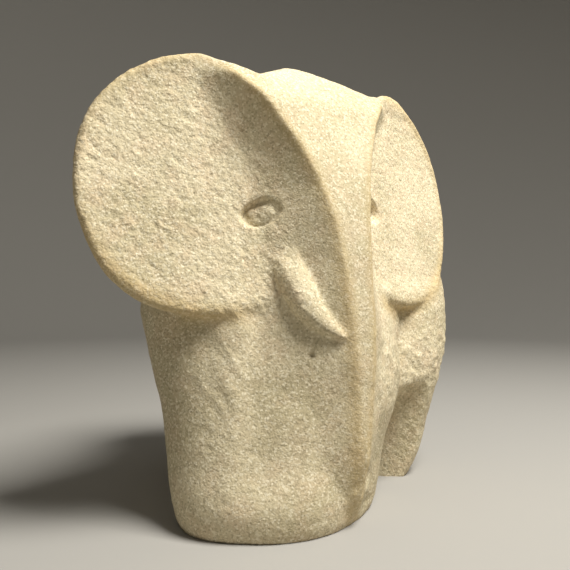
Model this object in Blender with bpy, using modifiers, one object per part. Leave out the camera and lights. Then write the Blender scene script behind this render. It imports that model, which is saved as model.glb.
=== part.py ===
"""Carved sandstone elephant: one block of stone, about 0.20 m tall.

Metres, +Z up. The origin is on the ground in the middle of the stone's length and width. The body
looks along -Y, and the head is turned towards +X, the animal's left. The carving is modelled as closed
rough forms (hindquarters, shoulders, front legs, head and trunk, ears, brows, tusks) that are fused
into one skin. The arch between the legs, the eyes and the flat underside are then cut from it. Tables
give a form's shape from the ground up and reach a little below the ground, where the underside is cut
flat. Tables and constants are in the body's own frame, whose origin lies in front of the arch.
STONE_MIDDLE says where the stone's middle is in it.
"""

import math

import bmesh
import bpy
import numpy as np
from mathutils import Matrix, Vector

# Middle of the stone's width and length in the body's frame
STONE_MIDDLE = (0.0025, 0.0121)

# Head: how far it turns, and where the trunk's flat band stands in front of the body
HEAD_TURN = math.radians(39.0)
TRUNK_X = 0.0375
TRUNK_Y = -0.0433
HEAD_BACK = 0.0720
HEAD_BACK_LEAN = 0.25
HEAD_THINNEST = 0.0080

# Half width of the head's back: height and half width
NECK = (
    (-0.006, 0.0140),
    (0.060, 0.0260),
    (0.100, 0.0262),
    (0.140, 0.0240),
    (0.181, 0.0300),
    (0.192, 0.0250),
    (0.204, 0.0060),
)

# Flat band of the trunk and forehead: height, half width to the right and to the left, and how far it
# lies back
BAND = (
    (-0.006, 0.0012, 0.0000, 0.0180),
    (0.000, 0.0020, 0.0002, 0.0105),
    (0.018, 0.0026, 0.0004, 0.0015),
    (0.050, 0.0042, 0.0032, 0.0000),
    (0.073, 0.0053, 0.0050, 0.0000),
    (0.100, 0.0068, 0.0068, 0.0030),
    (0.132, 0.0107, 0.0107, 0.0092),
    (0.158, 0.0195, 0.0195, 0.0182),
    (0.172, 0.0275, 0.0270, 0.0240),
    (0.180, 0.0325, 0.0320, 0.0275),
    (0.186, 0.0320, 0.0355, 0.0322),
    (0.1915, 0.0260, 0.0365, 0.0370),
    (0.198, 0.0130, 0.0220, 0.0445),
    (0.204, 0.0030, 0.0050, 0.0530),
)

# Ridge along the band's edge, which runs on high up as the brow: height and distance from the middle,
# right and left
RIDGE = (
    (0.158, 0.0195, 0.0195),
    (0.172, 0.0275, 0.0265),
    (0.180, 0.0330, 0.0325),
    (0.187, 0.0392, 0.0395),
    (0.1933, 0.0458, 0.0470),
    (0.197, 0.0530, 0.0520),
)

# Wall from the ridge into the ear: height, how far it reaches and how hollow it is, right and left
WALL = (
    (-0.006, 0.0170, 0.0158, 1.10, 1.10),
    (0.030, 0.0215, 0.0158, 1.10, 1.10),
    (0.060, 0.0280, 0.0165, 1.10, 1.10),
    (0.091, 0.0290, 0.0170, 1.12, 1.10),
    (0.110, 0.0250, 0.0175, 1.18, 1.15),
    (0.132, 0.0220, 0.0170, 1.25, 1.20),
    (0.145, 0.0200, 0.0165, 1.35, 1.30),
    (0.158, 0.0185, 0.0160, 1.45, 1.40),
    (0.172, 0.0175, 0.0150, 1.50, 1.50),
    (0.187, 0.0150, 0.0140, 1.50, 1.50),
    (0.197, 0.0100, 0.0100, 1.50, 1.50),
    (0.204, 0.0040, 0.0040, 1.50, 1.50),
)
WALL_STEPS = 6
WALL_TUCK = 0.0005
CREASE_DEPTH = 0.0245
CREASE_BEHIND_BAND = 0.0060
CROWN_FROM = 0.1790
CROWN_FADE = 0.0060
CROWN_REACH = 0.0040

# Ears: round dished discs that sweep back to each side and lean back a little
EAR_RADIUS = 0.0570
EAR_SPREAD = 0.0490
EAR_HEIGHT = 0.1438
EAR_DEPTH = 0.0367
EAR_SWEEP = 0.325
EAR_LEAN = 0.163
EAR_THICKNESS = 0.0130
EAR_DISH = 0.0028
EAR_EDGE = 0.0030
EAR_ROOT_RADIUS = 0.0330
EAR_ROOT_DEPTH = 0.0420
EAR_ROOT_DRIFT = 0.50
EAR_FACE_SHARES = (0.06, 0.3, 0.5, 0.7, 0.85)
EAR_EDGE_TURNS = np.radians((90.0, 60.0, 30.0, 0.0))
LEFT_EAR_SHIFT = (0.0020, 0.0003, 0.0020)

# Ear's edge outside its circle: angle in degrees above the ear's outer tip, and how far
EAR_FULLNESS = (
    (-180.0, 0.0),
    (-105.0, 0.0),
    (-80.0, 0.0008),
    (-55.0, 0.0025),
    (-42.0, 0.0022),
    (-28.0, 0.0006),
    (-12.0, 0.0),
    (2.0, -0.0006),
    (22.0, 0.0006),
    (45.0, 0.0011),
    (65.0, 0.0005),
    (80.0, -0.0002),
    (100.0, -0.0010),
    (180.0, 0.0),
)

# Beside the brow the ear's edge runs inside its circle by a share DROP, between these angles
BROW_START = math.radians(82.0)
LEFT_BROW_START = math.radians(74.0)
BROW_END = math.radians(110.0)
BROW_FADE = math.radians(35.0)
BROW_DROP = 0.13
LEFT_BROW_DROP = 0.20

# Brow: height of the ridge, and distance from the middle and height of the upper edge of the band
# that the forehead runs on as
RIGHT_BROW = (
    (0.170, 0.0230, 0.1820),
    (0.180, 0.0272, 0.1905),
    (0.187, 0.0350, 0.1940),
    (0.1933, 0.0445, 0.1960),
    (0.1965, 0.0530, 0.1976),
)
LEFT_BROW = (
    (0.170, 0.0240, 0.1820),
    (0.180, 0.0285, 0.1895),
    (0.187, 0.0360, 0.1930),
    (0.1925, 0.0450, 0.1952),
)
BROW_DEEP = Vector((0.0, 0.0100, -0.0010))

# Height from which the brow sinks into the ear, and over how much
RIGHT_BROW_SINK = (0.1885, 0.0090)
LEFT_BROW_SINK = (0.1870, 0.0075)
BROW_SECTIONS = 12

# Tusks: distance from the middle, height, half width and how far they stand out, from root to tip.
# The left tusk is narrower and flatter
TUSK = (
    (0.0260, 0.1125, 0.0058, 0.0020),
    (0.0249, 0.1050, 0.0067, 0.0044),
    (0.0226, 0.0975, 0.0067, 0.0055),
    (0.0190, 0.0902, 0.0060, 0.0055),
    (0.0141, 0.0836, 0.0042, 0.0044),
    (0.0083, 0.0788, 0.0012, 0.0018),
)
TUSK_ROOT = 0.0060
TUSK_OUT = (0.65, -0.76)

# Tusk's section: share of the half width, share of how far it stands out
TUSK_SECTION = ((-1.0, 0.0), (-0.85, 0.5), (0.1, 1.0), (0.4, 0.95), (0.85, 0.5), (1.0, 0.0))
TUSK_STEPS = 16
LEFT_TUSK_SPREAD = 0.70
LEFT_TUSK_RISE = 0.45

# Eyes: an almond hollow with a raised oval in it
EYE_SPREAD = 0.0310
EYE_HEIGHT = 0.1305
LEFT_EYE_SPREAD = 0.0310
LEFT_EYE_HEIGHT = 0.1355
EYE_LENGTH = 0.0190
EYE_OPENING = 0.0120
EYE_HOLLOW = 0.0030
EYE_TILT = math.radians(12.0)
EYE_INWARD = (-0.50, 0.85, -0.10)
EYE_ALONG = (0.85, 0.50, 0.0)
LENS_LENGTH = 0.0118
LENS_OPENING = 0.0072
LENS_SINK = 0.0026
LENS_DEPTH = 0.0052
LENS_LOW = 0.0006

# Hindquarters: height, half width, middle along Y, reach to the front, reach to the rear
HAUNCH = (
    (-0.006, 0.0560, 0.0450, 0.0340, 0.0280),
    (0.000, 0.0600, 0.0450, 0.0390, 0.0340),
    (0.008, 0.0645, 0.0460, 0.0410, 0.0380),
    (0.028, 0.0705, 0.0490, 0.0440, 0.0390),
    (0.056, 0.0785, 0.0530, 0.0520, 0.0370),
    (0.082, 0.0818, 0.0575, 0.0500, 0.0330),
    (0.100, 0.0805, 0.0585, 0.0460, 0.0310),
    (0.120, 0.0740, 0.0560, 0.0390, 0.0315),
    (0.140, 0.0630, 0.0490, 0.0340, 0.0340),
    (0.160, 0.0500, 0.0370, 0.0340, 0.0350),
    (0.177, 0.0370, 0.0260, 0.0300, 0.0310),
    (0.190, 0.0240, 0.0150, 0.0200, 0.0240),
    (0.200, 0.0100, 0.0060, 0.0060, 0.0080),
)
HAUNCH_SHIFT = 0.0025
HAUNCH_SQUARE = 2.2

# Shoulders: height, reach to the right, to the left, and to the front and rear of their middle
SHOULDERS = (
    (0.040, 0.0500, 0.0470, 0.0300),
    (0.060, 0.0630, 0.0540, 0.0370),
    (0.090, 0.0720, 0.0550, 0.0420),
    (0.115, 0.0670, 0.0500, 0.0420),
    (0.145, 0.0560, 0.0430, 0.0380),
    (0.170, 0.0500, 0.0350, 0.0350),
    (0.186, 0.0410, 0.0280, 0.0290),
    (0.195, 0.0270, 0.0200, 0.0210),
    (0.200, 0.0100, 0.0080, 0.0090),
)
SHOULDERS_MIDDLE = 0.0180
SHOULDERS_SQUARE = 2.0

# Front legs: height, right side, left side, front of the right leg and front beside it. A shallow
# valley runs up between the two at FRONT_SPLIT
FRONT = (
    (-0.006, 0.0390, 0.0360, 0.0530, 0.0525),
    (0.000, 0.0450, 0.0420, 0.0600, 0.0600),
    (0.008, 0.0475, 0.0440, 0.0625, 0.0620),
    (0.028, 0.0512, 0.0474, 0.0600, 0.0570),
    (0.050, 0.0550, 0.0540, 0.0560, 0.0535),
    (0.075, 0.0625, 0.0530, 0.0520, 0.0480),
    (0.092, 0.0660, 0.0490, 0.0500, 0.0430),
    (0.120, 0.0480, 0.0430, 0.0380, 0.0300),
    (0.140, 0.0300, 0.0300, 0.0200, 0.0150),
)
FRONT_RIGHT_SQUARE = 3.2
FRONT_LEFT_SQUARE = 2.15
FRONT_SPLIT = -0.0090
FRONT_VALLEY = 0.0140
FRONT_MIDDLE = 0.0050
FRONT_REAR = 0.0350

# Flat stone between the valley beside the right leg and the trunk: height, its front at the valley,
# its left side at the arch, and its size as a share
APRON = (
    (-0.006, 0.0580, 0.0430, 0.90),
    (0.000, 0.0585, 0.0430, 0.96),
    (0.008, 0.0585, 0.0440, 1.00),
    (0.028, 0.0570, 0.0474, 1.00),
    (0.050, 0.0545, 0.0540, 1.00),
    (0.075, 0.0490, 0.0520, 1.00),
    (0.090, 0.0440, 0.0480, 1.00),
    (0.102, 0.0340, 0.0420, 1.00),
)
APRON_INSET = 0.0003

# Arch between front and hind legs, along Y
ARCH_Y = 0.0175

# Arch's sections: distance from the middle, half width, height, and the share by which the roof is
# lower at the hind legs
ARCH = (
    (0.0310, 0.0120, 0.0275, 0.25),
    (0.0480, 0.0118, 0.0450, 0.22),
    (0.0540, 0.0118, 0.0500, 0.10),
    (0.0620, 0.0120, 0.0500, 0.00),
    (0.0720, 0.0124, 0.0510, 0.00),
    (0.1000, 0.0150, 0.0560, 0.00),
)
ARCH_SQUARE = 5.0
ARCH_STEPS = 16

# Underside: how far the cut reaches below the ground and around
GROUND_CUT = 0.4000
BELOW_GROUND = 0.0200

# Pale sandstone
STONE_COLOUR = (0.60, 0.55, 0.41, 1.0)
STONE_ROUGHNESS = 0.95

# Fineness of the forms and of the skin over them
RING_POINTS = 72
LAYER = 0.0030
SKIN = 0.0017
WEAR_TURNS = 3
TRIANGLE_SHARE = 0.076
BEAD_SEGMENTS = 24
BEAD_RINGS = 16


def through(keys, at):
    """Smooth curve through rows of (position, values...), sampled at the positions given."""
    keys = np.array(keys)
    place, value = keys[:, 0], keys[:, 1:]
    slope = np.gradient(value, place, axis=0)
    low = np.clip(np.searchsorted(place, at, side="right") - 1, 0, len(place) - 2)
    step = (place[low + 1] - place[low])[:, None]
    t = (np.clip(at, place[0], place[-1]) - place[low])[:, None] / step
    return (
        value[low] * (1 + 2 * t) * (1 - t) ** 2
        + value[low + 1] * t * t * (3 - 2 * t)
        + slope[low] * step * t * (1 - t) ** 2
        - slope[low + 1] * step * t * t * (1 - t)
    )


def ease(share):
    """Share from 0 to 1 that starts and ends gently."""
    share = min(max(share, 0.0), 1.0)
    return share * share * (3 - 2 * share)


def layers(keys):
    """Heights from the first row of keys to the last, about one LAYER apart."""
    count = int(math.ceil((keys[-1][0] - keys[0][0]) / LAYER))
    return np.linspace(keys[0][0], keys[-1][0], count + 1)


def head_matrix():
    """Head's own frame: X to its left, Y backwards, origin on the ground below the trunk's band."""
    return Matrix.Translation((TRUNK_X, TRUNK_Y, 0.0)) @ Matrix.Rotation(HEAD_TURN, 4, "Z")


def dished_ear(x, z):
    """How far back the ears' dished plane lies at a distance x from the middle and a height z."""
    plane = EAR_DEPTH + EAR_SWEEP * (abs(x) - EAR_SPREAD) + EAR_LEAN * (z - EAR_HEIGHT)
    share = math.hypot(abs(x) - EAR_SPREAD, z - EAR_HEIGHT) / EAR_RADIUS
    return max(plane, CREASE_DEPTH) + EAR_DISH * max(1 - share * share, 0.0)


def band_at(side, z):
    """Half width of the band on one side at a height z, and how far it lies back."""
    right, left, depth = through(BAND, np.array([z]))[0]
    return (left if side > 0 else right), depth


def ridge_at(side, z):
    """Distance of the ridge from the head's middle: the band's edge, and high up the brow."""
    if z < RIDGE[1][0]:
        return band_at(side, z)[0]
    return through(RIDGE, np.array([z]))[0][1 if side > 0 else 0]


def wall_at(side, z):
    """Reach and hollowness of the wall on one side at a height z."""
    right_reach, left_reach, right_hollow, left_hollow = through(WALL, np.array([z]))[0]
    return (left_reach, left_hollow) if side > 0 else (right_reach, right_hollow)


def face_depth(x, z):
    """How far back the face lies: the band, and from its ridge the hollow wall down to the ear."""
    ridge = ridge_at(x, z)
    depth = band_at(x, z)[1]
    if abs(x) < ridge:
        return depth
    reach, hollow = wall_at(x, z)
    start, over = LEFT_BROW_SINK if x > 0 else RIGHT_BROW_SINK
    fall = max(1 - (abs(x) - ridge) / reach, 0.0) ** hollow * (1 - ease((z - start) / over))
    return dished_ear(x, z) - max(dished_ear(ridge, z) - depth, 0.0) * fall


def add_loft(mesh, rings):
    """Add a closed solid: quads between rings of equal count, and a face over each end."""
    loops = [[mesh.verts.new(point) for point in ring] for ring in rings]
    faces = [mesh.faces.new(loops[0]), mesh.faces.new(loops[-1])]
    for lower, upper in zip(loops, loops[1:]):
        for i, corner in enumerate(lower):
            j = (i + 1) % len(lower)
            faces.append(mesh.faces.new((corner, lower[j], upper[j], upper[i])))
    bmesh.ops.recalc_face_normals(mesh, faces=faces)


def oval(z, right, left, front, rear, middle, squareness):
    """Level ring of four quarter ovals, each with its own reach; squareness is (right, left)."""
    points = []
    for i in range(RING_POINTS):
        angle = 2 * math.pi * (i + 0.5) / RING_POINTS
        across, along = math.cos(angle), math.sin(angle)
        power = 2.0 / squareness[1 if across > 0 else 0]
        x = math.copysign(abs(across) ** power, across) * (left if across > 0 else right)
        y = math.copysign(abs(along) ** power, along) * (rear if along > 0 else front)
        points.append(Vector((middle[0] + x, middle[1] + y, z)))
    return points


def add_hindquarters(mesh):
    """Belly, hind legs and back in one egg-shaped mass that closes below the crown."""
    heights = layers(HAUNCH)
    rings = []
    for z, (half_width, middle, front, rear) in zip(heights, through(HAUNCH, heights)):
        centre = (HAUNCH_SHIFT, middle)
        squareness = (HAUNCH_SQUARE, HAUNCH_SQUARE)
        rings.append(oval(z, half_width, half_width, front, rear, centre, squareness))
    add_loft(mesh, rings)


def add_shoulders(mesh):
    """Mass between the front legs, the neck and the hindquarters."""
    heights = layers(SHOULDERS)
    rings = []
    for z, (right, left, reach) in zip(heights, through(SHOULDERS, heights)):
        centre = (0.0, SHOULDERS_MIDDLE)
        squareness = (SHOULDERS_SQUARE, SHOULDERS_SQUARE)
        rings.append(oval(z, right, left, reach, reach, centre, squareness))
    add_loft(mesh, rings)


def add_front_legs(mesh):
    """Front legs as one block: the right leg stands out, and beside it the stone runs to the trunk."""
    heights = layers(FRONT)
    rings = []
    for z, (right, left, leg, centre) in zip(heights, through(FRONT, heights)):
        sides = (right + FRONT_SPLIT, left - FRONT_SPLIT)
        squareness = (FRONT_RIGHT_SQUARE, FRONT_LEFT_SQUARE)
        ring = oval(z, *sides, 1.0, FRONT_REAR, (FRONT_SPLIT, 0.0), squareness)
        for point in ring:
            share = ease((point.x - FRONT_SPLIT) / FRONT_VALLEY + 0.5)
            reach = leg + (centre - leg) * share + FRONT_MIDDLE
            point.y = FRONT_MIDDLE + (point.y * reach if point.y < 0 else point.y)
        rings.append(ring)
    add_loft(mesh, rings)


def add_apron(mesh):
    """Flat stone from the valley beside the right leg to the trunk, and from the trunk to the arch."""
    heights = layers(APRON)
    bands = through(BAND, heights)
    rings = []
    for z, (right, left, depth), (front, side, share) in zip(heights, bands, through(APRON, heights)):
        near = head_matrix() @ Vector((-right, depth + APRON_INSET, z))
        far = head_matrix() @ Vector((left, depth + APRON_INSET, z))
        ring = [(FRONT_SPLIT, -front), near.xy, far.xy, (side, FRONT_MIDDLE), (FRONT_SPLIT, FRONT_MIDDLE)]
        rings.append([Vector((x * share, y * share, z)) for x, y in ring])
    add_loft(mesh, rings)


def head_outline(side, z):
    """Half of the head at a height z: band edge, hollow wall to just inside the ear, and back.

    Above the brow the wall is short and closes the crown.
    """
    edge, depth = band_at(side, z)
    reach, hollow = wall_at(side, z)
    crown = ease((z - CROWN_FROM) / CROWN_FADE)
    reach = reach * (1 - crown) + CROWN_REACH * crown
    least = depth + CREASE_BEHIND_BAND
    gap = max(dished_ear(edge, z), least) - depth
    outline = []
    for share in np.linspace(0.0, 1.0, WALL_STEPS):
        x = edge + reach * share
        y = max(dished_ear(x, z), least) - gap * (1 - share) ** hollow + WALL_TUCK * share
        outline.append((side * x, y))
    back = HEAD_BACK - HEAD_BACK_LEAN * max(z - EAR_HEIGHT, 0.0)
    half_back = min(through(NECK, np.array([z]))[0][0], edge + reach)
    outline.append((side * half_back, max(back, outline[-1][1] + HEAD_THINNEST)))
    return outline


def add_head(mesh):
    """Head and trunk: a wedge with a flat band in front and hollow walls back to the ears."""
    place = head_matrix()
    rings = []
    for z in layers(BAND):
        ring = head_outline(-1, z)[::-1] + head_outline(1, z)
        rings.append([place @ Vector((x, y, z)) for x, y in ring])
    add_loft(mesh, rings)


def add_brow(mesh, side):
    """Top band that runs on from the forehead and thins out along the ear's upper rim."""
    rows = LEFT_BROW if side > 0 else RIGHT_BROW
    heights = np.linspace(rows[0][0], rows[-1][0], BROW_SECTIONS)
    place = head_matrix()
    rings = []
    for z, (top_x, top_z) in zip(heights, through(rows, heights)):
        ridge = side * ridge_at(side, z)
        top_y = max(band_at(side, top_z)[1], face_depth(ridge, z))
        top = Vector((side * top_x, top_y, top_z))
        ring = [top]
        for share in np.linspace(0.0, 1.0, WALL_STEPS):
            x = ridge + side * wall_at(side, z)[0] * share
            ring.append(Vector((x, face_depth(x, z) + WALL_TUCK * share, z)))
        ring.append(top + BROW_DEEP)
        rings.append([place @ point for point in ring])
    add_loft(mesh, rings)


def ear_reach(side, angle, radius):
    """Distance of the ear's surface from its axis at an angle above its outer tip."""
    start, drop = (LEFT_BROW_START, LEFT_BROW_DROP) if side > 0 else (BROW_START, BROW_DROP)
    begins = ease((angle - start) / (BROW_END - start))
    ends = ease((angle - BROW_END - BROW_FADE) / BROW_FADE)
    wrapped = (math.degrees(angle) + 180.0) % 360.0 - 180.0
    full = through(EAR_FULLNESS, np.array([wrapped]))[0][0]
    return radius * (1 - drop * begins * (1 - ends)) + full * (radius / EAR_RADIUS) ** 2


def ear_profile():
    """Rows of (radius, depth) from the middle of the ear's face over its edge to its root."""
    face = EAR_RADIUS - EAR_EDGE
    rows = [(face * share, -EAR_DISH * (1 - share * share)) for share in EAR_FACE_SHARES]
    for turn in EAR_EDGE_TURNS:
        rows.append((face + EAR_EDGE * math.cos(turn), EAR_EDGE * (math.sin(turn) - 1)))
    rows.append((face, -EAR_THICKNESS))
    rows.append((EAR_ROOT_RADIUS, -EAR_ROOT_DEPTH))
    return rows


def add_ear(mesh, side):
    """Ear: a dished face with a rounded edge, thinning behind into the neck."""
    across = Vector((side, EAR_SWEEP, 0.0)).normalized()
    front = Vector((side * EAR_SWEEP, -1.0, EAR_LEAN)).normalized()
    up = front.cross(across) * side
    centre = Vector((side * EAR_SPREAD, EAR_DEPTH, EAR_HEIGHT))
    if side > 0:
        centre += Vector(LEFT_EAR_SHIFT)
    place = head_matrix()
    rings = []
    for radius, depth in ear_profile():
        drift = max(-depth - EAR_THICKNESS, 0.0) * EAR_ROOT_DRIFT
        hub = centre + front * depth - across * drift
        ring = []
        for i in range(RING_POINTS):
            angle = 2 * math.pi * i / RING_POINTS
            reach = ear_reach(side, angle, radius)
            ring.append(place @ (hub + (across * math.cos(angle) + up * math.sin(angle)) * reach))
        rings.append(ring)
    add_loft(mesh, rings)


def add_tusk(mesh, side):
    """Tusk in relief: sections with a rounded ridge, along a curve on the trunk's side."""
    place = head_matrix()
    rings = []
    rows = [(i, *row) for i, row in enumerate(TUSK)]
    samples = through(rows, np.linspace(0, len(TUSK) - 1, TUSK_STEPS))
    if side > 0:
        samples *= (LEFT_TUSK_SPREAD, 1.0, LEFT_TUSK_SPREAD, LEFT_TUSK_RISE)
    path = [Vector((side * x, face_depth(side * x, z), z)) for x, z, _, _ in samples]
    out = Vector((side * TUSK_OUT[0], TUSK_OUT[1], 0.0)).normalized()
    for i, (_, _, half_width, rise) in enumerate(samples):
        along = (path[min(i + 1, len(path) - 1)] - path[max(i - 1, 0)]).normalized()
        across = along.cross(out).normalized() * -side
        section = [(-1.0, -TUSK_ROOT)]
        section += [(share, rise * height) for share, height in TUSK_SECTION]
        section += [(1.0, -TUSK_ROOT)]
        rings.append([place @ (path[i] + across * half_width * u + out * v) for u, v in section])
    add_loft(mesh, rings)


def eye_matrix(side, sink):
    """Place of an eye, sunk into the face: its X runs along the eye and its Y into the stone."""
    spread = LEFT_EYE_SPREAD if side > 0 else EYE_SPREAD
    height = LEFT_EYE_HEIGHT if side > 0 else EYE_HEIGHT
    spot = Vector((side * spread, face_depth(side * spread, height), height))
    inward = Vector((side * EYE_INWARD[0], *EYE_INWARD[1:])).normalized()
    level = Vector((side * EYE_ALONG[0], *EYE_ALONG[1:])).normalized()
    along = Matrix.Rotation(-side * EYE_TILT, 3, inward) @ level
    up = along.cross(inward).normalized()
    turn = Matrix((along, inward, up)).transposed().to_4x4()
    return head_matrix() @ Matrix.Translation(spot + inward * sink) @ turn


def add_oval_bead(mesh, place, length, depth, opening):
    """Ellipsoid with its longest axis along X."""
    shape = place @ Matrix.Diagonal((length / 2, depth / 2, opening / 2, 1.0))
    bmesh.ops.create_uvsphere(
        mesh, u_segments=BEAD_SEGMENTS, v_segments=BEAD_RINGS, radius=1.0, matrix=shape
    )


def arch_rings():
    """Sections of the arch along X: squarish arcs, with a roof that is lower at the hind legs."""
    power = 2.0 / ARCH_SQUARE
    rings = []
    for x, half_width, height, drop in [(-x, *rest) for x, *rest in reversed(ARCH)] + list(ARCH):
        ring = [Vector((x, ARCH_Y + side * half_width, -BELOW_GROUND)) for side in (1, -1)]
        for i in range(ARCH_STEPS + 1):
            angle = math.pi * i / ARCH_STEPS
            back = -math.copysign(abs(math.cos(angle)) ** power, math.cos(angle))
            rise = height * (1 - drop * (1 + back) / 2) * math.sin(angle) ** power
            ring.append(Vector((x, ARCH_Y + half_width * back, rise)))
        rings.append(ring)
    return rings


def stone_material():
    """Pale, rough sandstone."""
    material = bpy.data.materials.new("pale_sandstone")
    material.use_nodes = True
    shader = material.node_tree.nodes["Principled BSDF"]
    shader.inputs["Base Color"].default_value = STONE_COLOUR
    shader.inputs["Roughness"].default_value = STONE_ROUGHNESS
    shader.inputs["Metallic"].default_value = 0.0
    return material


def make_object(name, mesh, collection):
    """Turn a bmesh into an object of its own in a collection, shifted so that the stone is centred."""
    bmesh.ops.translate(mesh, vec=(-STONE_MIDDLE[0], -STONE_MIDDLE[1], 0.0), verts=mesh.verts)
    data = bpy.data.meshes.new(name)
    mesh.to_mesh(data)
    mesh.free()
    made = bpy.data.objects.new(name, data)
    collection.objects.link(made)
    return made


def make_cutter(name, mesh, collection):
    """Object that only shapes the stone."""
    cutter = make_object(name, mesh, collection)
    cutter.hide_render = True
    cutter.display_type = "WIRE"
    return cutter


def add_boolean(target, cutter, operation):
    """Cut or join a tool on the target."""
    modifier = target.modifiers.new(cutter.name, "BOOLEAN")
    modifier.operation = operation
    modifier.solver = "EXACT"
    modifier.object = cutter


def add_skin(target, name, size):
    """Fuse everything in the object into one closed skin."""
    skin = target.modifiers.new(name, "REMESH")
    skin.mode = "VOXEL"
    skin.voxel_size = size
    skin.adaptivity = 0.0


def add_smooth(target, name, turns):
    """Soften edges the way worn stone is."""
    smooth = target.modifiers.new(name, "SMOOTH")
    smooth.factor = 0.5
    smooth.iterations = turns


def main():
    """Build the stone and its cutters."""
    for old in list(bpy.data.objects):
        bpy.data.objects.remove(old, do_unlink=True)
    scene = bpy.context.scene.collection
    parts = bpy.data.collections.new("sandstone_elephant")
    tools = bpy.data.collections.new("cutters")
    scene.children.link(parts)
    scene.children.link(tools)

    mesh = bmesh.new()
    add_hindquarters(mesh)
    add_shoulders(mesh)
    add_front_legs(mesh)
    add_apron(mesh)
    add_head(mesh)
    for side in (-1, 1):
        add_ear(mesh, side)
        add_brow(mesh, side)
        add_tusk(mesh, side)
    stone = make_object("stone_elephant", mesh, parts)
    stone.data.materials.append(stone_material())

    mesh = bmesh.new()
    add_loft(mesh, arch_rings())
    arch = make_cutter("leg_arch", mesh, tools)

    mesh = bmesh.new()
    for side in (-1, 1):
        add_oval_bead(mesh, eye_matrix(side, 0.0), EYE_LENGTH, EYE_HOLLOW * 2, EYE_OPENING)
    hollows = make_cutter("eye_hollows", mesh, tools)

    mesh = bmesh.new()
    for side in (-1, 1):
        place = Matrix.Translation((0.0, 0.0, -LENS_LOW)) @ eye_matrix(side, LENS_SINK)
        add_oval_bead(mesh, place, LENS_LENGTH, LENS_DEPTH, LENS_OPENING)
    lenses = make_cutter("eye_lenses", mesh, tools)

    mesh = bmesh.new()
    bmesh.ops.create_cube(
        mesh, size=GROUND_CUT, matrix=Matrix.Translation((0.0, 0.0, -GROUND_CUT / 2))
    )
    ground = make_cutter("underside", mesh, tools)

    add_skin(stone, "fuse_forms", SKIN)
    add_boolean(stone, arch, "DIFFERENCE")
    add_boolean(stone, hollows, "DIFFERENCE")
    add_boolean(stone, lenses, "UNION")
    add_skin(stone, "fuse_cuts", SKIN)
    add_smooth(stone, "wear", WEAR_TURNS)
    thin = stone.modifiers.new("thin", "DECIMATE")
    thin.ratio = TRIANGLE_SHARE
    add_boolean(stone, ground, "DIFFERENCE")


main()
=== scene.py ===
"""Looks of a small elephant carved from one block of pale, coarse sandstone.

The stone is built up the way a carver blocks it out: closed forms for the hindquarters, shoulders,
front legs, head and trunk, ears and tusks are fused into one skin, the arch between the legs is cut,
and then the eyes, the tooled texture, the chips and the wear are worked into the surface.
All sizes are in metres in the body's own frame, +Z up, the body looking along -Y.
"""

import logging
import math
from dataclasses import dataclass
from enum import Enum, IntEnum

import bmesh
import bpy
import numpy as np
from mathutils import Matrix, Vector


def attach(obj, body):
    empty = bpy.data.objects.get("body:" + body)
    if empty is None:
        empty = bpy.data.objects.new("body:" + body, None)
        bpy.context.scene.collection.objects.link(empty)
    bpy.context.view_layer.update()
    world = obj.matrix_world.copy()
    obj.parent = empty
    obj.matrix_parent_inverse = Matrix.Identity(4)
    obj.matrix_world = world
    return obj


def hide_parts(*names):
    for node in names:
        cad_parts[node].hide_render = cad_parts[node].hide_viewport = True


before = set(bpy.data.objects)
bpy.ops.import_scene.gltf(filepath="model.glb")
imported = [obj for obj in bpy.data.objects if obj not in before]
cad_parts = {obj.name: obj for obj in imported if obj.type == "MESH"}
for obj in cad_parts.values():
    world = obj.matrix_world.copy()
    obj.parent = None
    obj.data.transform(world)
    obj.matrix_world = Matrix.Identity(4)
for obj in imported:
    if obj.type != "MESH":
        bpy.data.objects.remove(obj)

log = logging.getLogger("stone_elephant")

Rows = tuple[tuple[float, ...], ...]

NODE = "stone_elephant"
PIECE = "carved_sandstone_elephant"

# Middle of the stone's width and length in the body's frame
STONE_MIDDLE = (0.0025, 0.0121)
# Distance between the rings of a form
RING_STEP = 0.0015
# A hair's breadth past the ridge, so that a place counts as lying on the wall
PAST_RIDGE = 1e-6
# Cells after which the lattices of noise and of pits repeat, and how far noise is shifted off zero
NOISE_CELLS = 61
PIT_CELLS = 47
NOISE_SHIFT = 0.37
# Strength of each layer of noise against the one before
LAYER_STRENGTH = 0.55
# Place of a pit in its cell and its radius, as shares of the cell
PIT_PLACE = (0.2, 0.8)
PIT_RADIUS = (0.22, 0.5)
# Radius that stands for an empty cell's 0, by which nothing could be divided
EMPTY_RADIUS = 1e-6


class Side(Enum):
    """Side of the animal, with its sign along the head's X."""

    RIGHT = -1
    LEFT = 1

    @property
    def column(self) -> int:
        """Place of this side's value in a pair that gives the right, then the left."""
        return 1 if self is Side.LEFT else 0


class Work(Enum):
    """How a closed tool changes the stone."""

    CUT = "DIFFERENCE"
    JOIN = "UNION"


class Spread(Enum):
    """How a pattern rises from where a coat begins to where it is full."""

    SOFT = "SMOOTHSTEP"
    EVEN = "LINEAR"


class Seed(IntEnum):
    """Seeds of the random patterns; the layers of a noise take the numbers that follow."""

    WAVES = 3
    HAMMER = 11
    PITS = 21
    LARGE_PITS = 23
    CRUMBLE = 31
    STROKES = 41
    CHIPS = 51


# Numbers along curves, and noise


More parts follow.
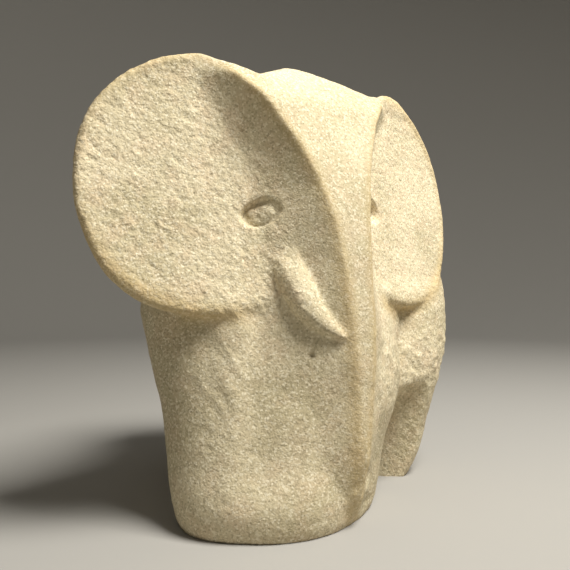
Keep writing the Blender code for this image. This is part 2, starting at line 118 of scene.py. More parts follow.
def through(keys: Rows, at: np.ndarray) -> np.ndarray:
    """Smooth curve through rows of (position, values...): a cubic whose slopes are central differences.

    Args:
        keys: rows of position and values, in order of position.
        at: positions to sample.

    Returns:
        One row of values for each position.
    """
    table = np.array(keys)
    place, value = table[:, 0], table[:, 1:]
    slope = np.gradient(value, place, axis=0)
    low = np.clip(np.searchsorted(place, at, side="right") - 1, 0, len(place) - 2)
    step = (place[low + 1] - place[low])[:, None]
    t = (np.clip(at, place[0], place[-1]) - place[low])[:, None] / step
    return (
        value[low] * (1 + 2 * t) * (1 - t) ** 2
        + value[low + 1] * t * t * (3 - 2 * t)
        + slope[low] * step * t * (1 - t) ** 2
        - slope[low + 1] * step * t * t * (1 - t)
    )


def ease(share: np.ndarray) -> np.ndarray:
    """Share clipped to 0..1 that starts and ends gently: 3 s^2 - 2 s^3."""
    s = np.clip(share, 0.0, 1.0)
    return s * s * (3 - 2 * s)


def bell(distance: np.ndarray, width: float) -> np.ndarray:
    """Gaussian hump: 1 at no distance, 1/e at the width."""
    return np.exp(-((distance / width) ** 2))


def value_noise(points: np.ndarray, size: float, seed: int) -> np.ndarray:
    """Smooth noise from -1 to 1: random values on a lattice, blended with an eased trilinear mix.

    Args:
        points: positions, one row each.
        size: lattice spacing in metres.
        seed: seed of the lattice values.

    Returns:
        One value for each point.
    """
    lattice = np.random.default_rng(seed).uniform(-1.0, 1.0, (NOISE_CELLS,) * 3)
    scaled = points / size + NOISE_SHIFT
    cell = np.floor(scaled).astype(int)
    part = ease(scaled - cell)
    total = np.zeros(len(points))
    for corner in np.ndindex(2, 2, 2):
        share = np.prod(np.where(corner, part, 1 - part), axis=1)
        i, j, k = ((cell + corner) % NOISE_CELLS).T
        total += share * lattice[i, j, k]
    return total


def layered_noise(points: np.ndarray, size: float, seed: int, layers: int = 3) -> np.ndarray:
    """Sum of value noises, each half as large and LAYER_STRENGTH as strong as the one before.

    Args:
        points: positions, one row each.
        size: lattice spacing of the first layer in metres.
        seed: seed of the first layer.
        layers: how many noises are summed.

    Returns:
        One value for each point.
    """
    total = np.zeros(len(points))
    for i in range(layers):
        total += LAYER_STRENGTH**i * value_noise(points, size / 2**i, seed + i)
    return total


def pits(points: np.ndarray, size: float, share: float, seed: int) -> np.ndarray:
    """Round bowls scattered in space, from 0 outside to 1 in the middle of a bowl.

    One bowl may lie in each cell of a lattice. Its depth is (1 - (distance / radius)^2), squared.

    Args:
        points: positions, one row each.
        size: lattice spacing in metres; a bowl is up to half as wide.
        share: share of the cells that hold a bowl.
        seed: seed of places and radii.

    Returns:
        One value for each point.
    """
    cells = (PIT_CELLS,) * 3
    random = np.random.default_rng(seed)
    place = random.uniform(*PIT_PLACE, (*cells, 3))
    radius = random.uniform(*PIT_RADIUS, cells)
    radius *= random.uniform(0.0, 1.0, cells) < share
    scaled = points / size
    cell = np.floor(scaled).astype(int)
    deepest = np.zeros(len(points))
    for offset in np.ndindex(3, 3, 3):
        near = cell + offset - 1
        i, j, k = (near % PIT_CELLS).T
        away = np.linalg.norm(scaled - near - place[i, j, k], axis=1)
        reach = np.maximum(radius[i, j, k], EMPTY_RADIUS)
        deepest = np.maximum(deepest, np.clip(1 - (away / reach) ** 2, 0, 1) ** 2)
    return deepest


# Meshes


def loft_faces(rings: int, points: int, start: int) -> list[list[int]]:
    """Faces of a closed loft: quads between neighbouring rings, then one face over each end.

    Point p of ring r has the number start + r * points + p.

    Args:
        rings: number of rings.
        points: number of points in a ring.
        start: number of the first point.

    Returns:
        The points' numbers for each face.
    """
    ring, point = np.meshgrid(np.arange(rings - 1), np.arange(points), indexing="ij")
    after = (point + 1) % points
    low, high = ring * points, (ring + 1) * points
    quads = np.stack((low + point, low + after, high + after, high + point), axis=-1).reshape(-1, 4)
    ends = [list(range(points)), list(range((rings - 1) * points, rings * points))]
    return (quads + start).tolist() + [[start + i for i in end] for end in ends]


def mesh_object(name: str, grids: list[np.ndarray]) -> bpy.types.Object:
    """Object made of closed lofts.

    Args:
        name: the object's name.
        grids: arrays of (rings, points, 3), in the body's frame.

    Returns:
        The object, linked to the scene, with its place in its mesh.
    """
    points, faces, start = [], [], 0
    for grid in grids:
        rings, count, _ = grid.shape
        points.append(grid.reshape(-1, 3))
        faces += loft_faces(rings, count, start)
        start += rings * count
    mesh = bpy.data.meshes.new(name)
    mesh.from_pydata(np.concatenate(points).tolist(), [], faces)
    mesh.update()
    made = bpy.data.objects.new(name, mesh)
    bpy.context.scene.collection.objects.link(made)
    return made


def read_points(mesh: bpy.types.Mesh) -> np.ndarray:
    """Positions of a mesh's points.

    Args:
        mesh: the mesh.

    Returns:
        One row for each point.
    """
    flat = np.empty(len(mesh.vertices) * 3)
    mesh.vertices.foreach_get("co", flat)
    return flat.reshape(-1, 3)


def read_normals(mesh: bpy.types.Mesh) -> np.ndarray:
    """Unit normals at a mesh's points.

    Args:
        mesh: the mesh.

    Returns:
        One row for each point.
    """
    flat = np.empty(len(mesh.vertices) * 3)
    mesh.vertex_normals.foreach_get("vector", flat)
    return flat.reshape(-1, 3)


def write_points(mesh: bpy.types.Mesh, points: np.ndarray) -> None:
    """Put new positions into a mesh."""
    mesh.vertices.foreach_set("co", points.ravel())
    mesh.update()


def apply_modifiers(target: bpy.types.Object) -> None:
    """Bake an object's modifiers into its mesh.

    Args:
        target: the object.
    """
    shaped = target.evaluated_get(bpy.context.evaluated_depsgraph_get())
    baked = bpy.data.meshes.new_from_object(shaped)
    target.modifiers.clear()
    target.data = baked


def fuse(target: bpy.types.Object, size: float) -> None:
    """Fuse everything in the object into one closed skin of even mesh.

    Args:
        target: the object.
        size: edge length of the mesh in metres.
    """
    skin = target.modifiers.new("fuse", "REMESH")
    skin.mode = "VOXEL"
    skin.voxel_size = size
    apply_modifiers(target)


def turn_outwards(mesh: bpy.types.Mesh) -> None:
    """Make a closed mesh's faces point outwards.

    Args:
        mesh: the mesh.
    """
    solid = bmesh.new()
    solid.from_mesh(mesh)
    bmesh.ops.recalc_face_normals(solid, faces=solid.faces)
    solid.to_mesh(mesh)
    solid.free()


def combine(target: bpy.types.Object, tool: bpy.types.Object, work: Work) -> None:
    """Cut a closed tool away from the target, or join it on, and delete the tool.

    Args:
        target: the object that is changed.
        tool: the closed object that is cut away or joined on.
        work: which of the two.
    """
    turn_outwards(tool.data)
    modifier = target.modifiers.new("combine", "BOOLEAN")
    modifier.operation = work.value
    modifier.solver = "MANIFOLD"
    modifier.object = tool
    apply_modifiers(target)
    bpy.data.objects.remove(tool)


def rub(mesh: bpy.types.Mesh, amount: np.ndarray, turns: int) -> None:
    """Smooth a mesh: each turn moves a point towards the mean of its neighbours by its own share.

    Args:
        mesh: the mesh.
        amount: share from 0 to 1 for each point.
        turns: number of passes.
    """
    edges = np.empty(len(mesh.edges) * 2, dtype=int)
    mesh.edges.foreach_get("vertices", edges)
    a, b = edges.reshape(-1, 2).T
    points = read_points(mesh)
    count = len(points)
    near = np.maximum(np.bincount(a, minlength=count) + np.bincount(b, minlength=count), 1)
    for _ in range(turns):
        mean = np.stack(
            [
                np.bincount(a, points[b, i], count) + np.bincount(b, points[a, i], count)
                for i in range(3)
            ],
            axis=1,
        )
        points += amount[:, None] * (mean / near[:, None] - points)
    write_points(mesh, points)


# The head's frame and the shape of the face


@dataclass(frozen=True)
class HeadFrame:
    """The head's own frame: X to its left, Y backwards, origin on the ground below the trunk."""

    turn: float = math.radians(39.0)
    trunk_x: float = 0.0375
    trunk_y: float = -0.0433

    def to_body(self, points: np.ndarray) -> np.ndarray:
        """Turn about Z, then shift to the trunk.

        Args:
            points: positions in the head's frame, with X, Y and Z along the last axis.

        Returns:
            The positions in the body's frame.
        """
        c, s = math.cos(self.turn), math.sin(self.turn)
        x, y, z = np.moveaxis(points, -1, 0)
        return np.stack((self.trunk_x + c * x - s * y, self.trunk_y + s * x + c * y, z), axis=-1)

    def from_body(self, points: np.ndarray) -> np.ndarray:
        """Shift back from the trunk, then turn back about Z.

        Args:
            points: positions in the body's frame, with X, Y and Z along the last axis.

        Returns:
            The positions in the head's frame.
        """
        c, s = math.cos(self.turn), math.sin(self.turn)
        x, y, z = np.moveaxis(points, -1, 0)
        x, y = x - self.trunk_x, y - self.trunk_y
        return np.stack((c * x + s * y, -s * x + c * y, z), axis=-1)


@dataclass(frozen=True)
class FaceShape:
    """Flat band of forehead and trunk, and on each side a hollow wall that runs out into a dished ear."""

    # Height, half width to the right and to the left, and how far back the band lies
    band: Rows = (
        (-0.006, 0.0012, 0.0000, 0.0180),
        (0.000, 0.0020, 0.0002, 0.0105),
        (0.018, 0.0026, 0.0004, 0.0015),
        (0.050, 0.0042, 0.0032, 0.0000),
        (0.073, 0.0053, 0.0050, 0.0000),
        (0.100, 0.0068, 0.0068, 0.0030),
        (0.132, 0.0107, 0.0107, 0.0092),
        (0.158, 0.0195, 0.0195, 0.0182),
        (0.172, 0.0275, 0.0270, 0.0240),
        (0.180, 0.0325, 0.0320, 0.0275),
        (0.186, 0.0320, 0.0355, 0.0322),
        (0.1915, 0.0260, 0.0365, 0.0370),
        (0.198, 0.0130, 0.0220, 0.0445),
        (0.204, 0.0030, 0.0050, 0.0530),
    )
    # Height and distance of the ridge from the middle, right and left, where it runs on as the brow
    ridge: Rows = (
        (0.158, 0.0195, 0.0195),
        (0.172, 0.0275, 0.0265),
        (0.180, 0.0330, 0.0325),
        (0.187, 0.0392, 0.0395),
        (0.1933, 0.0458, 0.0470),
        (0.197, 0.0530, 0.0520),
    )
    # Height, how far the wall reaches from the ridge into the ear and how hollow it is, right and left
    wall: Rows = (
        (-0.006, 0.0170, 0.0158, 1.10, 1.10),
        (0.030, 0.0215, 0.0158, 1.10, 1.10),
        (0.060, 0.0280, 0.0165, 1.10, 1.10),
        (0.091, 0.0290, 0.0170, 1.12, 1.10),
        (0.110, 0.0250, 0.0175, 1.18, 1.15),
        (0.132, 0.0220, 0.0170, 1.25, 1.20),
        (0.145, 0.0200, 0.0165, 1.35, 1.30),
        (0.158, 0.0185, 0.0160, 1.45, 1.40),
        (0.172, 0.0175, 0.0150, 1.50, 1.50),
        (0.187, 0.0150, 0.0140, 1.50, 1.50),
        (0.197, 0.0100, 0.0100, 1.50, 1.50),
        (0.204, 0.0040, 0.0040, 1.50, 1.50),
    )
    # Middle of an ear: how far back, outwards and up it lies, and how the ear slopes back from it
    ear_depth: float = 0.0367
    ear_spread: float = 0.0490
    ear_height: float = 0.1438
    ear_sweep: float = 0.325
    ear_lean: float = 0.163
    ear_radius: float = 0.0570
    ear_dish: float = 0.0028
    # Least depth of the ears beside the trunk, and their least distance behind the band
    crease_depth: float = 0.0245
    behind_band: float = 0.0060
    # Height from which the brow sinks into the ear, right and left, and over how much
    brow_sink: tuple[float, float] = (0.1885, 0.1870)
    brow_sink_over: tuple[float, float] = (0.0090, 0.0075)

    def ear_plane(self, x: np.ndarray, z: np.ndarray) -> np.ndarray:
        """How far back the flat of the ears lies: it sweeps back with distance and leans back."""
        return (
            self.ear_depth
            + self.ear_sweep * (np.abs(x) - self.ear_spread)
            + self.ear_lean * (z - self.ear_height)
        )

    def dished(self, x: np.ndarray, z: np.ndarray) -> np.ndarray:
        """The ears' plane with the dish d (1 - (r / R)^2) in it, and never before the crease's depth.

        Args:
            x: distances from the middle in the head's frame.
            z: heights.

        Returns:
            One depth for each place.
        """
        r = np.hypot(np.abs(x) - self.ear_spread, z - self.ear_height) / self.ear_radius
        dish = self.ear_dish * np.clip(1 - r**2, 0, 1)
        return np.maximum(self.ear_plane(x, z), self.crease_depth) + dish

    def ridge_at(self, side: Side, z: np.ndarray) -> np.ndarray:
        """Distance of the ridge from the middle: the band's edge, and high up the brow."""
        low = through(self.band, z)[:, side.column]
        return np.where(z < self.ridge[1][0], low, through(self.ridge, z)[:, side.column])

    def wall_at(self, side: Side, z: np.ndarray) -> tuple[np.ndarray, np.ndarray]:
        """Reach of the wall and its hollowness at each height."""
        rows = through(self.wall, z)
        return rows[:, side.column], rows[:, side.column + 2]

    def share(self, side: Side, x: np.ndarray, z: np.ndarray) -> np.ndarray:
        """How far across the wall a place lies: 0 on the ridge, 1 where the wall has run out."""
        return (np.abs(x) - self.ridge_at(side, z)) / self.wall_at(side, z)[0]

    def surface(self, side: Side, x: np.ndarray, z: np.ndarray) -> np.ndarray:
        """How far back the face lies: the band's depth up to the ridge, then the hollow wall.

        The wall is the dished ear less g (1 - s)^h, where g is how far the ridge stands out over the
        ear, s the share of the wall's reach and h its hollowness. High up g fades away.

        Args:
            side: which side.
            x: distances from the middle in the head's frame.
            z: heights.

        Returns:
            One depth for each place.
        """
        depth = through(self.band, z)[:, 2]
        ridge = self.ridge_at(side, z)
        gap = np.maximum(self.dished(ridge, z) - depth, 0.0)
        sunk = (z - self.brow_sink[side.column]) / self.brow_sink_over[side.column]
        gap *= 1 - ease(sunk)
        share = self.share(side, x, z)
        fall = np.clip(1 - share, 0, 1) ** self.wall_at(side, z)[1]
        return np.where(share < 0, depth, self.dished(x, z) - gap * fall)


# The forms of the body


@dataclass(frozen=True)
class Oval:
    """Level rings of four quarter ovals, each with its own reach and squareness."""

    points: int = 144

    def rings(
        self,
        z: np.ndarray,
        reach: tuple[np.ndarray | float, ...],
        middle: tuple[np.ndarray | float, ...],
        square: tuple[float, float],
    ) -> np.ndarray:
        """Rings at heights z: middle + reach * |cos|^(2/square), and the same with sin along Y.

        Args:
            z: heights.
            reach: right, left, front and rear reach at each height.
            middle: x and y of the middle at each height.
            square: squareness to the right and to the left; 2 is a true oval.

        Returns:
            Array of (heights, points, 3).
        """
        right, left, front, rear = (np.broadcast_to(r, z.shape)[:, None] for r in reach)
        angle = 2 * np.pi * (np.arange(self.points) + 0.5) / self.points
        across, along = np.cos(angle), np.sin(angle)
        power = 2.0 / np.where(across > 0, square[1], square[0])
        x = np.sign(across) * np.abs(across) ** power * np.where(across > 0, left, right)
        y = np.sign(along) * np.abs(along) ** power * np.where(along > 0, rear, front)
        x0, y0 = (np.broadcast_to(m, z.shape)[:, None] for m in middle)
        return np.stack((x0 + x, y0 + y, np.broadcast_to(z[:, None], x.shape)), axis=-1)


def layers(keys: Rows, step: float = RING_STEP) -> np.ndarray:
    """Heights from the first row of keys to the last, about a step apart."""
    count = int(math.ceil((keys[-1][0] - keys[0][0]) / step))
    return np.linspace(keys[0][0], keys[-1][0], count + 1)


@dataclass(frozen=True)
class Body:
    """Hindquarters, shoulders and the block of the front legs."""

    # Height, half width, middle along Y, reach to the front and to the rear
    haunch: Rows = (
        (-0.006, 0.0560, 0.0450, 0.0340, 0.0280),
        (0.000, 0.0600, 0.0450, 0.0390, 0.0340),
        (0.008, 0.0645, 0.0460, 0.0410, 0.0380),
        (0.028, 0.0705, 0.0490, 0.0440, 0.0390),
        (0.056, 0.0785, 0.0530, 0.0520, 0.0370),
        (0.082, 0.0818, 0.0575, 0.0500, 0.0330),
        (0.100, 0.0805, 0.0585, 0.0460, 0.0310),
        (0.120, 0.0740, 0.0560, 0.0390, 0.0315),
        (0.140, 0.0630, 0.0490, 0.0340, 0.0340),
        (0.160, 0.0500, 0.0370, 0.0340, 0.0350),
        (0.177, 0.0370, 0.0260, 0.0300, 0.0310),
        (0.190, 0.0240, 0.0150, 0.0200, 0.0240),
        (0.200, 0.0100, 0.0060, 0.0060, 0.0080),
    )
    # Shift to the left, and squareness, which is 2 for a true oval
    haunch_shift: float = 0.0025
    haunch_square: float = 2.2
    # Height, reach to the right, to the left, and to the front and rear
    shoulders: Rows = (
        (0.040, 0.0500, 0.0470, 0.0300),
        (0.060, 0.0630, 0.0540, 0.0370),
        (0.090, 0.0720, 0.0550, 0.0420),
        (0.115, 0.0670, 0.0500, 0.0420),
        (0.145, 0.0560, 0.0430, 0.0380),
        (0.170, 0.0500, 0.0350, 0.0350),
        (0.186, 0.0410, 0.0280, 0.0290),
        (0.195, 0.0270, 0.0200, 0.0210),
        (0.200, 0.0100, 0.0080, 0.0090),
    )
    # Middle along Y, and squareness
    shoulders_middle: float = 0.0180
    shoulders_square: float = 2.0
    # Height, right side, left side, front of the right leg and front beside it
    front: Rows = (
        (-0.006, 0.0390, 0.0360, 0.0530, 0.0525),
        (0.000, 0.0450, 0.0420, 0.0600, 0.0600),
        (0.008, 0.0475, 0.0440, 0.0625, 0.0620),
        (0.028, 0.0512, 0.0474, 0.0600, 0.0570),
        (0.050, 0.0550, 0.0540, 0.0560, 0.0535),
        (0.075, 0.0625, 0.0530, 0.0520, 0.0480),
        (0.092, 0.0660, 0.0490, 0.0500, 0.0430),
        (0.120, 0.0480, 0.0430, 0.0380, 0.0300),
        (0.140, 0.0300, 0.0300, 0.0200, 0.0150),
    )
    # Squareness to the right and left, middle of the valley beside the right leg and its width
    front_square: tuple[float, float] = (3.2, 2.15)
    split: float = -0.0090
    valley: float = 0.0140
    # Middle along Y, and reach to the rear
    front_middle: float = 0.0050
    front_rear: float = 0.0350
    # Height, front at the valley, left side at the arch, and size as a share
    apron: Rows = (
        (-0.006, 0.0580, 0.0430, 0.90),
        (0.000, 0.0585, 0.0430, 0.96),
        (0.008, 0.0585, 0.0440, 1.00),
        (0.028, 0.0570, 0.0474, 1.00),
        (0.050, 0.0545, 0.0540, 1.00),
        (0.075, 0.0490, 0.0520, 1.00),
        (0.090, 0.0440, 0.0480, 1.00),
        (0.102, 0.0340, 0.0420, 1.00),
    )
    # How far the apron lies behind the trunk's band
    apron_inset: float = 0.0003
    oval: Oval = Oval()

    def hindquarters(self) -> np.ndarray:
        """Belly, hind legs and back in one egg-shaped mass that closes below the crown.

        Returns:
            Array of (heights, points, 3): ovals through the rows of haunch.
        """
        z = layers(self.haunch)
        wide, middle, front, rear = through(self.haunch, z).T
        square = (self.haunch_square, self.haunch_square)
        return self.oval.rings(z, (wide, wide, front, rear), (self.haunch_shift, middle), square)

    def shoulder_mass(self) -> np.ndarray:
        """Mass between the front legs, the neck and the hindquarters.

        Returns:
            Array of (heights, points, 3): ovals through the rows of shoulders.
        """
        z = layers(self.shoulders)
        right, left, reach = through(self.shoulders, z).T
        square = (self.shoulders_square, self.shoulders_square)
        return self.oval.rings(z, (right, left, reach, reach), (0.0, self.shoulders_middle), square)

    def front_legs(self) -> np.ndarray:
        """The right leg stands out, and past an eased step the stone runs on to the trunk.

        The front's reach is the leg's, and over the valley's width it eases into the centre's.

        Returns:
            Array of (heights, points, 3).
        """
        z = layers(self.front)
        right, left, leg, centre = through(self.front, z).T
        reach = (right + self.split, left - self.split, 1.0, self.front_rear)
        grid = self.oval.rings(z, reach, (self.split, 0.0), self.front_square)
        share = ease((grid[..., 0] - self.split) / self.valley + 0.5)
        out = leg[:, None] + (centre - leg)[:, None] * share + self.front_middle
        y = grid[..., 1]
        grid[..., 1] = self.front_middle + np.where(y < 0, y * out, y)
        return grid

    def apron_block(self, head: HeadFrame, face: FaceShape) -> np.ndarray:
        """Flat stone from the valley to the trunk and on to the arch, a straight-sided prism.

        Each ring has five corners: front of the valley, both edges of the trunk's band, the side at
        the arch and the middle of the stone. They shrink towards the origin by the row's share.

        Args:
            head: the head's frame.
            face: shape of the face.

        Returns:
            Array of (heights, 5, 3).
        """
        z = layers(self.apron)
        right, left, depth = through(face.band, z).T
        front, side, share = through(self.apron, z).T
        back = depth + self.apron_inset
        near = head.to_body(np.stack((-right, back, z), axis=-1))
        far = head.to_body(np.stack((left, back, z), axis=-1))
        split = np.full_like(z, self.split)
        middle = np.full_like(z, self.front_middle)
        corners = np.stack(
            (
                np.stack((split, -front), axis=-1),
                near[:, :2],
                far[:, :2],
                np.stack((side, middle), axis=-1),
                np.stack((split, middle), axis=-1),
            ),
            axis=1,
        )
        flat = corners * share[:, None, None]
        return np.concatenate((flat, np.broadcast_to(z[:, None, None], (len(z), 5, 1))), axis=-1)

    def grids(self, head: HeadFrame, face: FaceShape) -> list[np.ndarray]:
        """All the body's closed forms."""
        return [
            self.hindquarters(),
            self.shoulder_mass(),
            self.front_legs(),
            self.apron_block(head, face),
        ]


@dataclass(frozen=True)
class Head:
    """Wedge of forehead and trunk: a flat band in front and hollow walls that run back to the ears."""

    # Height and half width of the back
    neck: Rows = (
        (-0.006, 0.0140),
        (0.060, 0.0260),
        (0.100, 0.0262),
        (0.140, 0.0240),
        (0.181, 0.0300),
        (0.192, 0.0250),
        (0.204, 0.0060),
    )
    # Depth of the back, how far it leans forward with height, and the least thickness before it
    back: float = 0.0720
    back_lean: float = 0.25
    thinnest: float = 0.0080
    # Height from which the wall is short, over how much it gets so, and its reach there
    crown_from: float = 0.1790
    crown_fade: float = 0.0060
    crown_reach: float = 0.0040
    # How far the wall's end sinks into the ear
    tuck: float = 0.0004
    steps: int = 11

    def half_ring(self, face: FaceShape, side: Side, z: np.ndarray) -> np.ndarray:
        """Outline on one side at each height: band edge, hollow wall into the ear, back.

        The wall's depth is the ear's less the gap times (1 - t) to the power of its hollowness, with t
        from 0 at the band to 1 at its end. It ends a little inside the ear. Above the brow it is short
        and closes the crown. The back leans forward above the ear's middle.

        Args:
            face: shape of the face.
            side: which side.
            z: heights.

        Returns:
            Array of (heights, points, 2) in the head's frame.
        """
        band = through(face.band, z)
        edge, depth = band[:, side.column], band[:, 2]
        reach, hollow = face.wall_at(side, z)
        crown = ease((z - self.crown_from) / self.crown_fade)
        reach = reach * (1 - crown) + self.crown_reach * crown
        t = np.linspace(0.0, 1.0, self.steps)
        x = edge[:, None] + reach[:, None] * t
        least = depth[:, None] + face.behind_band
        ear = np.maximum(face.dished(x, z[:, None]), least)
        gap = ear[:, :1] - depth[:, None]
        y = ear - gap * (1 - t) ** hollow[:, None] + self.tuck * t
        back = self.back - self.back_lean * np.maximum(z - face.ear_height, 0.0)
        rear_y = np.maximum(back, y[:, -1] + self.thinnest)
        rear = np.stack((np.minimum(through(self.neck, z)[:, 0], x[:, -1]), rear_y), axis=-1)
        sign = np.array((side.value, 1.0))
        return np.concatenate((np.stack((x, y), axis=-1), rear[:, None]), axis=1) * sign

    def grid(self, head: HeadFrame, face: FaceShape) -> np.ndarray:
        """Rings of both halves, from below the ground to the crown.

        Args:
            head: the head's frame.
            face: shape of the face.

        Returns:
            Array of (heights, points, 3) in the body's frame.
        """
        z = layers(face.band)
        right = self.half_ring(face, Side.RIGHT, z)
        left = self.half_ring(face, Side.LEFT, z)
        flat = np.concatenate((right[:, ::-1], left), axis=1)
        height = np.broadcast_to(z[:, None, None], (*flat.shape[:2], 1))
        return head.to_body(np.concatenate((flat, height), axis=-1))


@dataclass(frozen=True)
class Brow:
    """Top band that runs on from the forehead and thins out along the ear's upper rim."""

    side: Side
    # Height of the ridge, and distance from the middle and height of the band's upper edge
    rows: Rows = (
        (0.170, 0.0230, 0.1820),
        (0.180, 0.0272, 0.1905),
        (0.187, 0.0350, 0.1940),
        (0.1933, 0.0445, 0.1960),
        (0.1965, 0.0530, 0.1976),
    )
    # How far the back lies behind and below the upper edge, and how far the wall's end sinks in
    deep: float = 0.0100
    back_drop: float = 0.0010
    tuck: float = 0.0006
    sections: int = 24
    steps: int = 8

    def grid(self, head: HeadFrame, face: FaceShape) -> np.ndarray:
        """Sections along the ridge: upper edge, ridge, hollow wall down into the ear, back.

        The wall follows the face's surface and sinks into it by the tuck towards its end.

        Args:
            head: the head's frame.
            face: shape of the face.

        Returns:
            Array of (sections, points, 3) in the body's frame.
        """
        z = np.linspace(self.rows[0][0], self.rows[-1][0], self.sections)
        top_x, top_z = through(self.rows, z).T
        reach = face.wall_at(self.side, z)[0]
        ridge = face.ridge_at(self.side, z)
        on_ridge = face.surface(self.side, ridge + PAST_RIDGE, z)
        top_y = np.maximum(through(face.band, top_z)[:, 2], on_ridge)
        walls = []
        for t in np.linspace(0.0, 1.0, self.steps):
            x = ridge + reach * t
            y = face.surface(self.side, x + PAST_RIDGE, z) + self.tuck * t
            walls.append(np.stack((x, y, z), axis=-1))
        top = np.stack((top_x, top_y, top_z), axis=-1)
        back = top + np.array((0.0, self.deep, -self.back_drop))
        spots = np.stack([top, *walls, back], axis=1)
        return head.to_body(spots * (self.side.value, 1.0, 1.0))


@dataclass(frozen=True)
class Ear:
    """Round dished disc with a rounded edge, lower beside the brow, that thins into the neck."""

    side: Side
    # Angle in degrees above the ear's outer tip, and how far its edge lies outside the circle
    fullness: Rows = (
        (-180.0, 0.0),
        (-105.0, 0.0),
        (-80.0, 0.0008),
        (-55.0, 0.0025),
        (-42.0, 0.0022),
        (-28.0, 0.0006),
        (-12.0, 0.0),
        (2.0, -0.0006),
        (22.0, 0.0006),
        (45.0, 0.0011),
        (65.0, 0.0005),
        (80.0, -0.0002),
        (100.0, -0.0010),
        (180.0, 0.0),
    )
    # Radii of the dish's rings as shares of the flat, and turn of each ring of the rounded edge
    flat_shares: tuple[float, ...] = (0.02, 0.15, 0.3, 0.45, 0.6, 0.7, 0.8, 0.9, 0.96)
    edge_turns: tuple[float, ...] = (90.0, 70.0, 50.0, 30.0, 15.0, 0.0)
    # Thickness of the disc, radius of its rounded edge, and radius, depth and drift of its root
    thickness: float = 0.0130
    edge: float = 0.0030
    root_radius: float = 0.0330
    root_depth: float = 0.0420
    root_drift: float = 0.50
    shift: tuple[float, float, float] = (0.0, 0.0, 0.0)
    # Beside the brow the radius drops by a share from start to end, holds for the fade, returns over it
    brow_start: float = math.radians(82.0)
    brow_end: float = math.radians(110.0)
    brow_fade: float = math.radians(35.0)
    brow_drop: float = 0.13
    points: int = 180

    def frame(self, face: FaceShape) -> tuple[np.ndarray, np.ndarray, np.ndarray, np.ndarray]:
        """Middle of the disc and its directions across, up and to the front, in the head's frame.

        Args:
            face: shape of the face.

        Returns:
            The middle and three unit directions.
        """
        side = self.side.value
        across = np.array((side, face.ear_sweep, 0.0))
        front = np.array((side * face.ear_sweep, -1.0, face.ear_lean))
        across /= np.linalg.norm(across)
        front /= np.linalg.norm(front)
        up = np.cross(front, across) * side
        middle = np.array((side * face.ear_spread, face.ear_depth, face.ear_height))
        return middle + np.array(self.shift), across, up, front

    def profile(self, face: FaceShape) -> np.ndarray:
        """Outline from the middle of the dish -d (1 - r^2) over a quarter round to rim and root.

        Args:
            face: shape of the face.

        Returns:
            Rows of (radius, depth).
        """
        flat = face.ear_radius - self.edge
        share = np.array(self.flat_shares)
        dish = np.stack((flat * share, -face.ear_dish * (1 - share**2)), axis=-1)
        turn = np.radians(self.edge_turns)
        rim = np.stack((flat + self.edge * np.cos(turn), self.edge * (np.sin(turn) - 1)), axis=-1)
        back = np.array(((flat, -self.thickness), (self.root_radius, -self.root_depth)))
        return np.concatenate((dish, rim, back))

    def swell(self, angle: np.ndarray) -> tuple[np.ndarray, np.ndarray]:
        """How the edge departs from its circle.

        Args:
            angle: angles above the ear's outer tip in radians.

        Returns:
            Share of the radius that is kept beside the brow, and how far the edge lies outside it.
        """
        begins = ease((angle - self.brow_start) / (self.brow_end - self.brow_start))
        ends = ease((angle - self.brow_end - self.brow_fade) / self.brow_fade)
        wrapped = np.degrees((angle + np.pi) % (2 * np.pi) - np.pi)
        return 1 - self.brow_drop * begins * (1 - ends), through(self.fullness, wrapped)[:, 0]

    def grid(self, head: HeadFrame, face: FaceShape) -> np.ndarray:
        """Rings about the disc's axis, from the middle of the dish over the edge to the root.

        A ring's radius is the profile's times what is kept, plus the swell, which grows with the
        square of the radius. Behind the rim the rings drift inwards.

        Args:
            head: the head's frame.
            face: shape of the face.

        Returns:
            Array of (rings, points, 3) in the body's frame.
        """
        middle, across, up, front = self.frame(face)
        radius, depth = (column[:, None] for column in self.profile(face).T)
        angle = 2 * np.pi * np.arange(self.points) / self.points
        kept, extra = self.swell(angle)
        reach = radius * kept + extra * np.minimum(radius / face.ear_radius, 1.0) ** 2
        drift = np.maximum(-depth - self.thickness, 0.0) * self.root_drift
        spots = (
            middle
            + (reach * np.cos(angle) - drift)[..., None] * across
            + (reach * np.sin(angle))[..., None] * up
            + np.broadcast_to(depth, reach.shape)[..., None] * front
        )
        return head.to_body(spots)

    def inside(self, face: FaceShape, points: np.ndarray) -> np.ndarray:
        """How far inside the ear's edge points lie.

        Args:
            face: shape of the face.
            points: positions in the head's frame.

        Returns:
            One distance in metres for each point, below 0 outside the ear.
        """
        middle, across, up, _ = self.frame(face)
        u, v = (points - middle) @ across, (points - middle) @ up
        kept, extra = self.swell(np.arctan2(v, u) % (2 * np.pi))
        return face.ear_radius * kept + extra - np.hypot(u, v)


